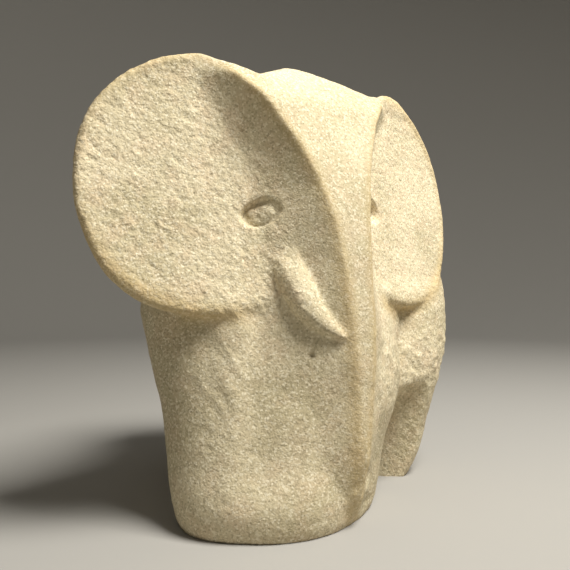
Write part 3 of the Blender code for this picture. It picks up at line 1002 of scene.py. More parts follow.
@dataclass(frozen=True)
class Tusk:
    """Tusk in relief: sections with a rounded ridge along a curve on the side of the trunk."""

    side: Side
    # Distance from the middle, height, half width and how far it stands out, root to tip
    rows: Rows = (
        (0.0258, 0.1135, 0.0056, 0.0004),
        (0.0243, 0.1050, 0.0067, 0.0038),
        (0.0220, 0.0975, 0.0068, 0.0055),
        (0.0190, 0.0902, 0.0060, 0.0055),
        (0.0141, 0.0836, 0.0042, 0.0044),
        (0.0083, 0.0788, 0.0012, 0.0018),
    )
    # Factors on distance and width, and on how far it stands out; how deep its root is sunk
    spread: float = 1.0
    rise: float = 1.0
    root: float = 0.0060
    # Direction out of the face: away from the trunk, and along the head's Y
    outwards: tuple[float, float] = (0.65, -0.76)
    # A section's points across the tusk and out of the face; the two ends are sunk by the root
    section_across: tuple[float, ...] = (-1.0, -1.0, -0.85, -0.4, 0.05, 0.3, 0.8, 1.0, 1.0)
    section_out: tuple[float, ...] = (0.0, 0.0, 0.42, 0.83, 1.0, 0.96, 0.55, 0.0, 0.0)
    steps: int = 40

    def grid(self, head: HeadFrame, face: FaceShape) -> np.ndarray:
        """Sections swept along the path, which lies on the face.

        A point is the path plus the half width times its place across, and the rise times its place
        out, with the directions square to the path.

        Args:
            head: the head's frame.
            face: shape of the face.

        Returns:
            Array of (sections, points, 3) in the body's frame.
        """
        side = self.side.value
        keys = tuple((float(i), *row) for i, row in enumerate(self.rows))
        x, z, half_width, rise = through(keys, np.linspace(0, len(keys) - 1, self.steps)).T
        x, half_width, rise = x * self.spread, half_width * self.spread, rise * self.rise
        path = np.stack((side * x, face.surface(self.side, x, z), z), axis=-1)
        out = np.array((side * self.outwards[0], self.outwards[1], 0.0))
        out /= np.linalg.norm(out)
        along = np.gradient(path, axis=0)
        across = np.cross(along, out) * -side
        across /= np.linalg.norm(across, axis=1)[:, None]
        u, v = np.array(self.section_across), np.array(self.section_out)
        sunk = np.zeros(len(u))
        sunk[[0, -1]] = self.root
        spots = (
            path[:, None]
            + (half_width[:, None] * u)[..., None] * across[:, None]
            + (rise[:, None] * v - sunk)[..., None] * out
        )
        return head.to_body(spots)


@dataclass(frozen=True)
class LegArch:
    """Arch between front and hind legs: it rises towards the two sides."""

    y: float = 0.0175
    # Distance from the middle, half width, height, and share by which the roof is lower at the rear
    sections: Rows = (
        (0.0310, 0.0120, 0.0275, 0.25),
        (0.0480, 0.0118, 0.0450, 0.22),
        (0.0540, 0.0118, 0.0500, 0.10),
        (0.0620, 0.0120, 0.0500, 0.00),
        (0.0720, 0.0124, 0.0510, 0.00),
        (0.1000, 0.0150, 0.0560, 0.00),
    )
    # Squareness of the arc, and how far its feet reach below the ground
    square: float = 5.0
    below: float = 0.0200
    steps: int = 40

    def grid(self) -> np.ndarray:
        """Sections along X: arcs |y|^n + |z|^n = 1 over straight feet, n being their squareness.

        Returns:
            Array of (sections, points, 3) in the body's frame.
        """
        half = np.array(self.sections)
        rows = np.concatenate((half[::-1] * (-1, 1, 1, 1), half))
        x, width, height, drop = (column[:, None] for column in rows.T)
        angle = np.linspace(0, np.pi, self.steps)
        power = 2.0 / self.square
        back = -np.sign(np.cos(angle)) * np.abs(np.cos(angle)) ** power
        crown = height * (1 - drop * (1 + back) / 2) * np.clip(np.sin(angle), 0, 1) ** power
        foot = np.full_like(width, -self.below)
        arc = self.y + width * back
        y = np.concatenate((self.y + width, self.y - width, arc), axis=1)
        z = np.concatenate((foot, foot, crown), axis=1)
        return np.stack((np.broadcast_to(x, y.shape), y, z), axis=-1)


# The carving's surface


@dataclass(frozen=True)
class Eye:
    """Almond eye: a hollow under a sharp upper lid, with a low oval left standing in it.

    Positions are (along, up, inward): along runs towards the trunk and rises, inward into the stone.
    """

    side: Side
    spread: float = 0.0325
    height: float = 0.1296
    # Directions on the right side in the head's frame: along, up and inward
    along: tuple[float, float, float] = (0.763, -0.577, 0.291)
    up: tuple[float, float, float] = (-0.232, 0.175, 0.957)
    inward: tuple[float, float, float] = (0.603, 0.798, 0.0)
    # The hollow, its shift towards the trunk, the share over which its edge runs out and its depth
    half_length: float = 0.0092
    half_opening: float = 0.0065
    offset: float = 0.0018
    rim: float = 0.15
    depth: float = 0.0029
    # How much the depth fades towards the trunk and below the middle, and where each starts
    trunk_fade: float = 0.92
    fade_start: float = 0.0010
    fade_slant: float = 0.6
    low_fade: float = 0.62
    low_start: float = 0.1
    # The lens, how far it lies below the middle and how far it rises
    lens_half_length: float = 0.0070
    lens_half_opening: float = 0.0041
    lens_low: float = 0.0007
    lens_rise: float = 0.0016
    # How far before or behind the face a point may lie
    reach: float = 0.0100

    def place(self, head: HeadFrame, face: FaceShape) -> tuple[np.ndarray, np.ndarray]:
        """Place and directions of the eye in the body's frame.

        Args:
            head: the head's frame.
            face: shape of the face.

        Returns:
            Its middle on the face, and rows of its along, up and inward directions.
        """
        side = self.side.value
        depth = face.surface(self.side, np.array([self.spread]), np.array([self.height]))[0]
        middle = np.array((side * self.spread, depth, self.height))
        axes = np.array((self.along, self.up, self.inward)) * (-side, 1.0, 1.0)
        start = head.to_body(np.zeros(3))
        return head.to_body(middle), head.to_body(axes) - start

    def carve(self, points: np.ndarray, head: HeadFrame, face: FaceShape) -> np.ndarray:
        """Points moved into the eye's shape: an ellipse is cut to a floor that carries a domed lens.

        The floor's depth fades towards the trunk and below the middle. The lens stands on it by its
        rise times the root of 1 - r^2, with r from 0 in its middle to 1 at its edge.

        Args:
            points: positions in the body's frame.
            head: the head's frame.
            face: shape of the face.

        Returns:
            The moved positions.
        """
        middle, axes = self.place(head, face)
        u, v, w = ((points - middle) @ axes.T).T
        out = np.hypot((u - self.offset) / self.half_length, v / self.half_opening)
        inside = ease((1 - out) / self.rim) * (np.abs(w) < self.reach)
        to_trunk = (u - self.fade_slant * v + self.fade_start) / self.half_length
        fade = 1 - self.trunk_fade * ease(to_trunk)
        below = (-v - self.low_start * self.half_opening) / self.half_opening
        fade *= 1 - self.low_fade * ease(below)
        lens = np.hypot(u / self.lens_half_length, (v + self.lens_low) / self.lens_half_opening)
        dome = self.lens_rise * np.sqrt(np.clip(1 - lens**2, 0, 1))
        move = inside * (self.depth * fade - dome - w)
        return points + move[:, None] * axes[2]


class Zone(Enum):
    """Zones of the surface that were finished in different ways, with how coarse each was left."""

    EAR = 1.00
    WALL = 0.32
    BLOCK = 0.48
    FLANK = 0.85


@dataclass(frozen=True)
class Tooling:
    """How the carver left the surface: bush-hammered ears and flanks, smoothed walls and trunk."""

    head: HeadFrame
    face: FaceShape
    # Where the ear begins, as a share of the wall's reach, and over how much it does
    crease: tuple[float, float] = (0.45, 0.35)
    # How far behind the dish ear and wall reach, and over how much they end
    ear_behind: float = 0.0040
    wall_behind: float = 0.0030
    behind_over: float = 0.0030
    # Height from which ear and wall begin, and Y before which the block does, each with over how much
    ear_above: tuple[float, float] = (0.0830, 0.0060)
    wall_above: tuple[float, float] = (0.0600, 0.0300)
    block_before: tuple[float, float] = (0.0050, 0.0060)
    block_top: float = 0.1
    # Height of the waves, and the distance between them
    waviness: float = 0.00030
    waviness_size: float = 0.0240
    # Path of the hammer, how much its marks are drawn out along it, their height and their size
    slant: tuple[float, float, float] = (0.62, 0.40, -0.67)
    drawn_out: float = 0.55
    hammer: float = 0.00020
    hammer_size: float = 0.0021
    # Depth of the pits, their spacing, and the share of the cells that hold one
    pit: float = 0.00040
    pit_size: float = 0.0030
    pit_share: float = 0.55
    # Large pits against these: shallower and wider by factors, and in fewer cells
    large_pit: float = 0.5
    large_pit_size: float = 2.3
    large_pit_share: float = 0.12
    # Height and size of the crumbs
    crumble: float = 0.00085
    crumble_size: float = 0.0065
    # Height and width of their patch, and where along X it begins and over how much
    patch: tuple[float, float] = (0.0620, 0.0200)
    patch_from: tuple[float, float] = (0.0350, 0.0150)
    # Height and spacing of the chisel strokes, how they are drawn out along Z, direction across them
    stroke: float = 0.00055
    stroke_size: float = 0.0026
    stroke_length: float = 0.25
    stroke_across: tuple[float, float, float] = (0.86, 0.0, 0.51)
    # Place along X and Z of their stripe, and its widths
    stripe: tuple[float, float] = (-0.0190, 0.0680)
    stripe_width: tuple[float, float] = (0.0100, 0.0260)
    # Height and size of the chips, and how much is lost on the whole
    chip: float = 0.0011
    chip_size: float = 0.0080
    chip_loss: float = 0.45
    # Place along X and Z of the chipped trunk's foot, and its widths
    foot: tuple[float, float] = (0.0370, 0.0130)
    foot_width: tuple[float, float] = (0.0080, 0.0120)
    # Y before which stripe and foot lie
    front_y: float = -0.0200
    # Middle of the weathered hole
    hole: tuple[float, float, float] = (0.0159, -0.0480, 0.0715)
    hole_depth: float = 0.0016
    hole_radius: float = 0.0011
    # Outward and backward offset of the tint from the ridge, its width and its strength
    ridge_offset: tuple[float, float] = (0.0006, 0.0008)
    ridge_width: float = 0.0036
    ridge_strength: float = 0.85
    # How far inside the rim's circle its tint lies, and its width
    rim_inset: float = 0.0012
    rim_width: float = 0.0042
    # Middle of the rim behind the ears' plane, how far the tint reaches from it and how it ends
    rim_plane: tuple[float, float, float] = (0.002, 0.012, 0.004)
    rim_share: tuple[float, float] = (0.9, 0.5)

    def wall_share(self, x: np.ndarray, z: np.ndarray) -> np.ndarray:
        """How far across the wall of its own side each place in the head's frame lies."""
        return np.where(
            x > 0, self.face.share(Side.LEFT, x, z), self.face.share(Side.RIGHT, x, z)
        )

    def zones(self, points: np.ndarray) -> dict[Zone, np.ndarray]:
        """Share from 0 to 1 of each zone at each point; the shares add up to 1.

        A point belongs to the ears outside the crease and near their plane, to the walls inside
        it and near the face, to the block low in front of the arch, and to the flanks elsewhere.

        Args:
            points: positions in the body's frame.

        Returns:
            The shares by zone.
        """
        x, y, z = self.head.from_body(points).T
        outside = ease((self.wall_share(x, z) - self.crease[0]) / self.crease[1])
        dish = self.face.dished(x, z)
        ear = outside * ease((dish + self.ear_behind - y) / self.behind_over)
        ear *= ease((z - self.ear_above[0]) / self.ear_above[1])
        wall = (1 - outside) * ease((dish + self.wall_behind - y) / self.behind_over)
        wall *= ease((z - self.wall_above[0]) / self.wall_above[1])
        before = ease((self.block_before[0] - points[:, 1]) / self.block_before[1])
        block = (1 - ear - wall) * before * (points[:, 2] < self.block_top)
        return {
            Zone.EAR: ear,
            Zone.WALL: wall,
            Zone.BLOCK: block,
            Zone.FLANK: np.clip(1 - ear - wall - block, 0, 1),
        }

    def roughness(self, zones: dict[Zone, np.ndarray]) -> np.ndarray:
        """How coarse the surface was left, from 0 to 1: the zones' own, mixed by their shares."""
        return sum(zone.value * share for zone, share in zones.items())

    def relief(self, points: np.ndarray) -> np.ndarray:
        """How far each point stands out: waviness, hammered lumps, pits, a crumbly patch, strokes.

        The lumps are noise on coordinates squeezed along the hammer's slanting path, so they run
        from the upper left to the lower right. Patch, stripe and foot are humps that fade with the
        distance from their middles.

        Args:
            points: positions in the body's frame.

        Returns:
            Height in metres for each point.
        """
        zones = self.zones(points)
        rough = self.roughness(zones)
        x, y, z = points.T
        slant = np.array(self.slant)
        along = points @ slant
        squeezed = points - self.drawn_out * along[:, None] * slant
        height = self.waviness * layered_noise(points, self.waviness_size, Seed.WAVES)
        height += self.hammer * rough * layered_noise(squeezed, self.hammer_size, Seed.HAMMER, 2)
        height -= self.pit * rough * pits(squeezed, self.pit_size, self.pit_share, Seed.PITS)
        large = pits(points, self.large_pit_size * self.pit_size, self.large_pit_share, Seed.LARGE_PITS)
        height -= self.large_pit * self.pit * large
        patch = bell(z - self.patch[0], self.patch[1])
        patch *= ease((x - self.patch_from[0]) / self.patch_from[1])
        patch *= zones[Zone.FLANK] + zones[Zone.BLOCK]
        height += self.crumble * patch * layered_noise(points, self.crumble_size, Seed.CRUMBLE)
        across = points @ np.array(self.stroke_across)
        strokes = value_noise(
            np.stack((across, self.stroke_length * z, np.zeros_like(across)), axis=-1),
            self.stroke_size,
            Seed.STROKES,
        )
        height += self.stroke * self.front_patch(points, self.stripe, self.stripe_width) * strokes
        height -= self.hole_depth * self.hole_mark(points)
        foot = self.front_patch(points, self.foot, self.foot_width)
        chips = layered_noise(points, self.chip_size, Seed.CHIPS) - self.chip_loss
        return height + self.chip * foot * chips

    def front_patch(
        self, points: np.ndarray, middle: tuple[float, float], width: tuple[float, float]
    ) -> np.ndarray:
        """Patch on the front of the stone: a hump along X times a hump along Z.

        Args:
            points: positions in the body's frame.
            middle: its place along X and Z.
            width: its widths along X and Z.

        Returns:
            One share from 0 to 1 for each point.
        """
        x, y, z = points.T
        return bell(x - middle[0], width[0]) * bell(z - middle[1], width[1]) * (y < self.front_y)

    def hole_mark(self, points: np.ndarray) -> np.ndarray:
        """Small weathered hole beside the tusk's tip, from 0 outside to 1 in its middle."""
        return bell(np.linalg.norm(points - np.array(self.hole), axis=1), self.hole_radius)

    def edge_tint(self, points: np.ndarray) -> np.ndarray:
        """Warm, darker tint from 0 to 1 along the ears' rims and the edges of the trunk's band.

        It fades with the distance from the rim's circle and from the band's edge.

        Args:
            points: positions in the body's frame.

        Returns:
            One value for each point.
        """
        x, y, z = self.head.from_body(points).T
        depth = through(self.face.band, z)[:, 2]
        edge = np.where(x > 0, self.face.ridge_at(Side.LEFT, z), self.face.ridge_at(Side.RIGHT, z))
        out, back = self.ridge_offset
        ridge = bell(np.hypot(np.abs(x) - edge - out, y - depth - back), self.ridge_width)
        circle = np.hypot(np.abs(x) - self.face.ear_spread, z - self.face.ear_height)
        rim = bell(circle - self.face.ear_radius + self.rim_inset, self.rim_width)
        middle, reach, over = self.rim_plane
        rim *= ease((reach - np.abs(y - self.face.ear_plane(x, z) - middle)) / over)
        low = ease((self.wall_share(x, z) - self.rim_share[0]) / self.rim_share[1])
        rim *= np.where(z > self.face.ear_height, np.abs(x) > edge, low)
        return np.clip(np.maximum(self.ridge_strength * ridge, rim), 0, 1)


@dataclass(frozen=True)
class Carving:
    """The whole sculpture, from blocked-out forms to finished surface."""

    head: HeadFrame = HeadFrame()
    face: FaceShape = FaceShape()
    body: Body = Body()
    wedge: Head = Head()
    arch: LegArch = LegArch()
    ears: tuple[Ear, ...] = (
        Ear(Side.RIGHT),
        Ear(
            Side.LEFT,
            shift=(0.0020, 0.0003, 0.0020),
            brow_start=math.radians(74.0),
            brow_drop=0.20,
        ),
    )
    brows: tuple[Brow, ...] = (
        Brow(Side.RIGHT),
        Brow(
            Side.LEFT,
            rows=(
                (0.170, 0.0240, 0.1820),
                (0.180, 0.0285, 0.1895),
                (0.187, 0.0360, 0.1930),
                (0.1925, 0.0450, 0.1952),
            ),
        ),
    )
    # How far a face's front must turn to the front before it settles, and over how much it does
    settle_facing: tuple[float, float] = (0.15, 0.35)
    # Height from which the face settles and over how much; height to which, right, left and in the band
    settle_from: float = 0.0950
    settle_from_over: float = 0.0100
    settle_to: tuple[float, float] = (0.1960, 0.1920)
    settle_band_to: float = 0.1860
    # How near to the surface a point has to lie, over how much that and the heights end, and clear room
    settle_reach: float = 0.0060
    settle_over: float = 0.0030
    settle_clear: float = 0.0025
    tusks: tuple[Tusk, ...] = (Tusk(Side.RIGHT), Tusk(Side.LEFT, spread=0.70, rise=0.45))
    eyes: tuple[Eye, ...] = (Eye(Side.RIGHT), Eye(Side.LEFT, spread=0.0310, height=0.1355))
    # Mesh size of the skin before and after the tusks are joined on
    first_skin: float = 0.0012
    last_skin: float = 0.00078
    # Share and turns of the rubbing of the seams and then of the edges, and share after the eyes
    rub_share: float = 0.5
    rough_turns: int = 2
    wear_turns: int = 2
    eye_wear: float = 0.35
    # Rubbed part of the crown: behind and above these in the head's frame, and over how much it fades
    crown_turns: int = 170
    crown_behind: tuple[float, float] = (0.0480, 0.0120)
    crown_above: tuple[float, float] = (0.1650, 0.0100)
    crown_half_width: tuple[float, float] = (0.0600, 0.0100)
    # Triangles that are kept before the underside is sawn, and half the width of the sawn ground
    triangles: int = 194_000
    ground: float = 0.2000
    sharp_angle: float = math.radians(60.0)

    def block_out(self) -> bpy.types.Object:
        """Fuse the closed forms, settle the face, cut the arch and join the tusks on.

        Returns:
            The blocked-out stone.
        """
        grids = self.body.grids(self.head, self.face)
        grids.append(self.wedge.grid(self.head, self.face))
        grids += [ear.grid(self.head, self.face) for ear in self.ears]
        grids += [brow.grid(self.head, self.face) for brow in self.brows]
        stone = mesh_object(PIECE, grids)
        fuse(stone, self.first_skin)
        rub(stone.data, np.full(len(stone.data.vertices), self.rub_share), self.rough_turns)
        self.settle_face(stone.data)
        combine(stone, mesh_object("leg_arch", [self.arch.grid()]), Work.CUT)
        tusks = [tusk.grid(self.head, self.face) for tusk in self.tusks]
        combine(stone, mesh_object("tusks", tusks), Work.JOIN)
        fuse(stone, self.last_skin)
        return stone

    def settle_face(self, mesh: bpy.types.Mesh) -> None:
        """Move the front of head and ears onto the face's surface, so that no seam is left.

        A point moves along the head's Y. It moves fully where it faces the front, lies close to the
        surface and is clear of the ear's edge, of the lower trunk and of the crown.

        Args:
            mesh: the fused mesh.
        """
        points = self.head.from_body(read_points(mesh))
        facing = self.head.to_body(np.array((0.0, -1.0, 0.0))) - self.head.to_body(np.zeros(3))
        to_front = read_normals(mesh) @ facing
        x, y, z = points.T
        for side, ear, top in zip((Side.RIGHT, Side.LEFT), self.ears, self.settle_to):
            own = x * side.value > 0
            target = self.face.surface(side, x, z)
            weight = ease((to_front - self.settle_facing[0]) / self.settle_facing[1]) * own
            begun = ease((z - self.settle_from) / self.settle_from_over)
            ended = ease((top - z) / self.settle_over)
            weight *= begun * ended
            weight *= ease((self.settle_reach - np.abs(y - target)) / self.settle_over)
            clear = ease((ear.inside(self.face, points) - ear.edge) / self.settle_clear)
            band = ease((self.settle_band_to - z) / self.settle_over)
            weight *= np.where(self.face.share(side, x, z) < 0, band, clear)
            points[:, 1] += weight * (target - y)
        write_points(mesh, self.head.to_body(points))

    def soften_crown(self, mesh: bpy.types.Mesh) -> None:
        """Rub the top behind the head smooth, so that no step is left where the forms meet.

        Args:
            mesh: the worn mesh.
        """
        x, y, z = self.head.from_body(read_points(mesh)).T
        amount = ease((y - self.crown_behind[0]) / self.crown_behind[1])
        amount *= ease((z - self.crown_above[0]) / self.crown_above[1])
        amount *= ease((self.crown_half_width[0] - np.abs(x)) / self.crown_half_width[1])
        rub(mesh, self.rub_share * amount, self.crown_turns)

    def finish_surface(self, stone: bpy.types.Object, tooling: Tooling) -> None:
        """Wear the edges, carve the eyes and work the tooled relief along the surface's normals.

        Args:
            stone: the blocked-out stone.
            tooling: how the surface was left.
        """
        mesh = stone.data
        rub(mesh, np.full(len(mesh.vertices), self.rub_share), self.wear_turns)
        self.soften_crown(mesh)
        points = read_points(mesh)
        for eye in self.eyes:
            points = eye.carve(points, self.head, self.face)
        write_points(mesh, points)
        rub(mesh, np.full(len(points), self.eye_wear), 1)
        points = read_points(mesh)
        write_points(mesh, points + tooling.relief(points)[:, None] * read_normals(mesh))

    def stand(self, stone: bpy.types.Object) -> None:
        """Thin the mesh, saw the underside flat and centre the stone over the origin.

        Args:
            stone: the finished stone in the body's frame.
        """
        thin = stone.modifiers.new("thin", "DECIMATE")
        thin.ratio = min(1.0, self.triangles / (2 * len(stone.data.vertices)))
        apply_modifiers(stone)
        g = self.ground
        box = np.array([[(-g, -g), (g, -g), (g, g), (-g, g)]] * 2, dtype=float)
        level = np.array((-g, 0.0))[:, None, None] * np.ones((2, 4, 1))
        below = mesh_object("ground", [np.concatenate((box, level), axis=-1)])
        combine(stone, below, Work.CUT)
        middle = np.array((*STONE_MIDDLE, 0.0))
        write_points(stone.data, read_points(stone.data) - middle)

    def mark(self, stone: bpy.types.Object, tooling: Tooling) -> None:
        """Store coarseness, edge tint and the hole's painted shade for the finish, and shade the skin
        smooth.

        Args:
            stone: the stone, centred over the origin.
            tooling: how the surface was left.
        """
        mesh = stone.data
        points = read_points(mesh) + np.array((*STONE_MIDDLE, 0.0))
        marks = {
            # Coarseness also steers the painted shade on the smoother stone
            "coarse": tooling.roughness(tooling.zones(points)),
            "edge_tint": tooling.edge_tint(points),
            # The hole's mark tells the finish where to paint the hole's shade
            "painted_hole_shade": tooling.hole_mark(points),
        }
        for name, values in marks.items():
            attribute = mesh.attributes.new(name, "FLOAT", "POINT")
            attribute.data.foreach_set("value", values.astype(np.float32))
        mesh.polygons.foreach_set("use_smooth", np.ones(len(mesh.polygons), dtype=bool))
        mesh.set_sharp_from_angle(angle=self.sharp_angle)
        mesh.update()

    def build(self) -> bpy.types.Object:
        """Carve the stone.

        Returns:
            The object, at the origin and in the part's frame.
        """
        tooling = Tooling(self.head, self.face)
        stone = self.block_out()
        self.finish_surface(stone, tooling)
        self.stand(stone)
        self.mark(stone, tooling)
        return stone


# Finishes


def linear(colour: str) -> tuple[float, float, float, float]:
    """Linear colour of an sRGB hex value: c / 12.92 below 0.04045, else ((c + 0.055) / 1.055)^2.4.

    Args:
        colour: hex value with a leading hash sign.

    Returns:
        Red, green, blue and an alpha of 1.
    """
    parts = [int(colour[i : i + 2], 16) / 255 for i in (1, 3, 5)]
    r, g, b = (c / 12.92 if c <= 0.04045 else ((c + 0.055) / 1.055) ** 2.4 for c in parts)
    return (r, g, b, 1.0)


def add_node(
    tree: bpy.types.NodeTree, kind: str, settings: dict | None = None, inputs: dict | None = None
) -> bpy.types.Node:
    """Add a node to a tree.

    Args:
        tree: the node tree.
        kind: the node's type name.
        settings: values of the node's own properties.
        inputs: a value or a socket to link for each input, by name or index.

    Returns:
        The node.
    """
    node = tree.nodes.new(kind)
    for name, value in (settings or {}).items():
        setattr(node, name, value)
    for name, value in (inputs or {}).items():
        if isinstance(value, bpy.types.NodeSocket):
            tree.links.new(value, node.inputs[name])
        else:
            node.inputs[name].default_value = value
    return node


@dataclass(frozen=True)
class Coat:
    """One colour laid over those below it where a pattern is strong."""

    pattern: bpy.types.NodeSocket
    # Values of the pattern at which the coat begins and is full; they may run downwards
    begins: float
    full: float
    strength: float
    colour: str
    spread: Spread = Spread.SOFT


@dataclass(frozen=True)
class PaleSandstone:
    """Coarse pale sandstone, carved and left matt.

    Quartz grains of about 0.5 to 1 mm in a cream binder: the eye sees a soft, even cream, with
    grey and pinkish drifts, bright and dark grains, and a warm, darker tint along the ears' rims
    and the band's edges. The smoother walls, trunk and block get a darker, greyer painted shade.
    """

    name: str = "carved_pale_sandstone"
    cream: str = "#DBCDAB"
    grey: str = "#C8BB98"
    pink: str = "#D8BF9E"
    # Painted shade: darker, greyer colour laid on the smoother walls, trunk and block
    smooth_painted_shade: str = "#AFA382"
    warm: str = "#BFA46E"
    dark: str = "#6B5F45"
    # Painted shade: nearly black colour laid into the small hole
    bright: str = "#FBF2D8"
    painted_hole_shade: str = "#3A3326"
    drift_mm: float = 34.0
    cloud_mm: float = 9.0
    grain_mm: float = 0.75
    speck_mm: float = 3.2
    hammer_mm: float = 1.9
    # Height of the grains against the hammer's marks, and of both together in metres
    grain_bump: float = 0.36
    bump_strength: float = 0.75
    bump_height: float = 0.0008
    roughness: float = 0.92
    shine: float = 0.25

    def scale(self, size_mm: float) -> float:
        """Texture scale at which one feature is as large as given: 1000 / size in mm."""
        return 1000.0 / size_mm

    def material(self) -> bpy.types.Material:
        """Build the material's nodes: coats of colour over the cream, and grains as a bump.

        Returns:
            The material.
        """
        material = bpy.data.materials.new(self.name)
        material.use_nodes = True
        tree = material.node_tree
        shader = tree.nodes["Principled BSDF"]
        place = add_node(tree, "ShaderNodeTexCoord").outputs["Object"]
        coarse, edge_tint, painted_hole_shade = (
            add_node(tree, "ShaderNodeAttribute", {"attribute_name": name}).outputs["Fac"]
            for name in ("coarse", "edge_tint", "painted_hole_shade")
        )
        # Each noise has a size in millimetres and a number of finer layers
        drift, cloud, hammer, fine = (
            add_node(
                tree,
                "ShaderNodeTexNoise",
                inputs={"Vector": place, "Scale": self.scale(size), "Detail": detail},
            ).outputs["Fac"]
            for size, detail in (
                (self.drift_mm, 3.0),
                (self.cloud_mm, 4.0),
                (self.hammer_mm, 2.0),
                (self.grain_mm, 2.0),
            )
        )
        grains, specks = (
            add_node(tree, "ShaderNodeTexVoronoi", inputs={"Vector": place, "Scale": self.scale(size)})
            for size in (self.grain_mm, self.speck_mm)
        )
        # One random value for each grain
        grain = add_node(tree, "ShaderNodeSeparateColor", inputs={0: grains.outputs["Color"]}).outputs[0]
        coats = (
            Coat(drift, 0.38, 0.64, 1.0, self.grey),
            Coat(cloud, 0.40, 0.72, 0.45, self.pink),
            # Painted shade on the smoother stone: the less coarse, the darker and greyer, for the shade
            # the walls lie in
            Coat(coarse, 0.90, 0.20, 0.30, self.smooth_painted_shade),
            Coat(grain, 0.62, 1.0, 0.50, self.bright),
            Coat(grain, 0.36, 0.0, 0.34, self.dark),
            Coat(specks.outputs["Distance"], 0.10, 0.06, 0.55, self.dark),
            Coat(edge_tint, 0.0, 1.0, 0.55, self.warm, Spread.EVEN),
            # Painted shade: the small hole beside the tusk's tip is filled nearly black
            Coat(painted_hole_shade, 0.0, 1.0, 1.0, self.painted_hole_shade, Spread.EVEN),
        )
        colour = linear(self.cream)
        for coat in coats:
            share = add_node(
                tree,
                "ShaderNodeMapRange",
                {"interpolation_type": coat.spread.value},
                {
                    "Value": coat.pattern,
                    "From Min": coat.begins,
                    "From Max": coat.full,
                    "To Max": coat.strength,
                },
            ).outputs["Result"]
            colour = add_node(
                tree,
                "ShaderNodeMix",
                {"data_type": "RGBA"},
                {0: share, 6: colour, 7: linear(coat.colour)},
            ).outputs[2]
        tree.links.new(colour, shader.inputs["Base Color"])

        high = add_node(
            tree, "ShaderNodeMath", {"operation": "MULTIPLY"}, {0: hammer, 1: coarse}
        ).outputs[0]
        low = add_node(
            tree,
            "ShaderNodeMath",
            {"operation": "MULTIPLY_ADD"},
            {0: fine, 1: self.grain_bump, 2: high},
        ).outputs[0]
        bump = add_node(
            tree,
            "ShaderNodeBump",
            inputs={"Strength": self.bump_strength, "Distance": self.bump_height, "Height": low},
        ).outputs["Normal"]
        tree.links.new(bump, shader.inputs["Normal"])
        shader.inputs["Roughness"].default_value = self.roughness
        shader.inputs["Specular IOR Level"].default_value = self.shine
        return material


@dataclass(frozen=True)
class StudioPaper:
    """Matt grey paper of the studio's sweep: the eye sees soft shadows on it and no shine."""

    name: str = "matt_studio_paper"
    colour: str = "#A3A09A"
    roughness: float = 0.9

    def material(self) -> bpy.types.Material:
        """Build the material from its one colour.

        Returns:
            The material.
        """
        material = bpy.data.materials.new(self.name)
        material.use_nodes = True
        shader = material.node_tree.nodes["Principled BSDF"]
        shader.inputs["Base Color"].default_value = linear(self.colour)
        shader.inputs["Roughness"].default_value = self.roughness
        return material


# The studio


@dataclass(frozen=True)
class Lamp:
    """Square area light: its place, its power in watts, its side in metres and its colour."""

    name: str
    at: tuple[float, float, float]
    energy: float
    size: float
    colour: str

    def hang(self, aim: tuple[float, float, float]) -> None:
        """Add the light to the scene, turned towards a point.

        Args:
            aim: the point.
        """
        data = bpy.data.lights.new(self.name, "AREA")
        data.energy, data.size, data.color = self.energy, self.size, linear(self.colour)[:3]
        lamp = bpy.data.objects.new(self.name, data)
        lamp.location = self.at
        lamp.rotation_euler = (Vector(aim) - Vector(self.at)).to_track_quat("-Z", "Y").to_euler()
        bpy.context.scene.collection.objects.link(lamp)


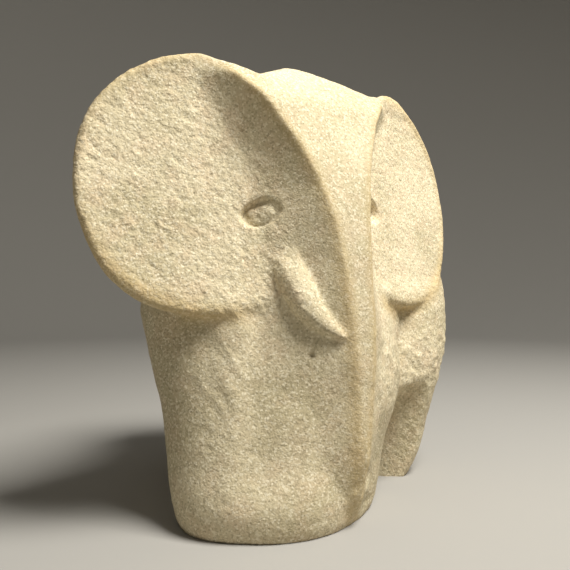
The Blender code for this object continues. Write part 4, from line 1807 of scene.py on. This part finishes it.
@dataclass(frozen=True)
class Studio:
    """Plain pale sweep, soft lights and the camera at the photograph's angle."""

    middle_radius: float = 0.0001
    inner_radius: float = 0.45
    flat_radius: float = 0.9
    curve_radius: float = 0.6
    wall_height: float = 1.6
    curve_rings: int = 17
    ring_points: int = 96
    camera_at: tuple[float, float, float] = (0.0278, -0.3005, 0.1000)
    camera_turn: float = math.radians(6.0)
    # Focal length and width of the photograph in pixels
    focal_px: float = 600.0
    photo_px: float = 570.0
    sensor_mm: float = 36.0
    nearest: float = 0.01
    lamps: tuple[Lamp, ...] = (
        Lamp("key", at=(0.33, -0.175, 0.81), energy=12.3, size=0.32, colour="#FFFDF8"),
        Lamp("fill", at=(-0.7, -0.5, 0.35), energy=0.05, size=0.6, colour="#F2F1E6"),
    )
    aim: tuple[float, float, float] = (0.0, 0.0, 0.1)
    world_strength: float = 0.25
    world_colour: str = "#F7F4EC"

    def sweep(self) -> bpy.types.Object:
        """Floor that curves up through a quarter circle into a round wall: a profile turned about Z.

        Returns:
            The sweep, linked to the scene.
        """
        t = np.linspace(0, np.pi / 2, self.curve_rings)
        radius = np.concatenate(
            (
                (self.middle_radius, self.inner_radius),
                self.flat_radius + self.curve_radius * np.sin(t),
            )
        )
        height = np.concatenate(((0.0, 0.0), self.curve_radius * (1 - np.cos(t))))
        radius = np.append(radius, radius[-1])
        height = np.append(height, self.wall_height)
        angle = 2 * np.pi * np.arange(self.ring_points) / self.ring_points
        grid = np.stack(
            (
                radius[:, None] * np.cos(angle),
                radius[:, None] * np.sin(angle),
                np.broadcast_to(height[:, None], (len(radius), self.ring_points)),
            ),
            axis=-1,
        )
        # The top stays open, and the middle's face is turned the way of its neighbours
        faces = loft_faces(*grid.shape[:2], 0)[:-1]
        faces[-1].reverse()
        mesh = bpy.data.meshes.new("studio_sweep")
        mesh.from_pydata(grid.reshape(-1, 3).tolist(), [], faces)
        mesh.polygons.foreach_set("use_smooth", np.ones(len(faces), dtype=bool))
        mesh.update()
        made = bpy.data.objects.new("studio_sweep", mesh)
        bpy.context.scene.collection.objects.link(made)
        mesh.materials.append(StudioPaper().material())
        return made

    def camera(self) -> None:
        """Camera at the height of the stone's middle, looking level."""
        data = bpy.data.cameras.new("camera")
        data.lens = self.focal_px / self.photo_px * self.sensor_mm
        data.sensor_width, data.clip_start = self.sensor_mm, self.nearest
        made = bpy.data.objects.new("camera", data)
        made.location = self.camera_at
        made.rotation_euler = (math.radians(90.0), 0.0, self.camera_turn)
        bpy.context.scene.collection.objects.link(made)
        bpy.context.scene.camera = made

    def build(self) -> None:
        """Put up floor, world, lights and camera."""
        self.sweep()
        self.camera()
        for lamp in self.lamps:
            lamp.hang(self.aim)
        world = bpy.data.worlds.new("soft_daylight")
        world.use_nodes = True
        background = world.node_tree.nodes["Background"]
        background.inputs["Color"].default_value = linear(self.world_colour)
        background.inputs["Strength"].default_value = self.world_strength
        bpy.context.scene.world = world
        bpy.context.scene.view_settings.view_transform = "Standard"


def main() -> None:
    """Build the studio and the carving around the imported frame, and keep both sizes."""
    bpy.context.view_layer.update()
    Studio().build()
    stone = Carving().build()
    stone.data.materials.clear()
    stone.data.materials.append(PaleSandstone().material())
    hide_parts(NODE)
    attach(stone, "root")
    log.info("%s: %d points, %d faces", stone.name, len(stone.data.vertices), len(stone.data.polygons))


if __name__ == "__main__":
    logging.basicConfig(level=logging.INFO, format="%(message)s")
    main()
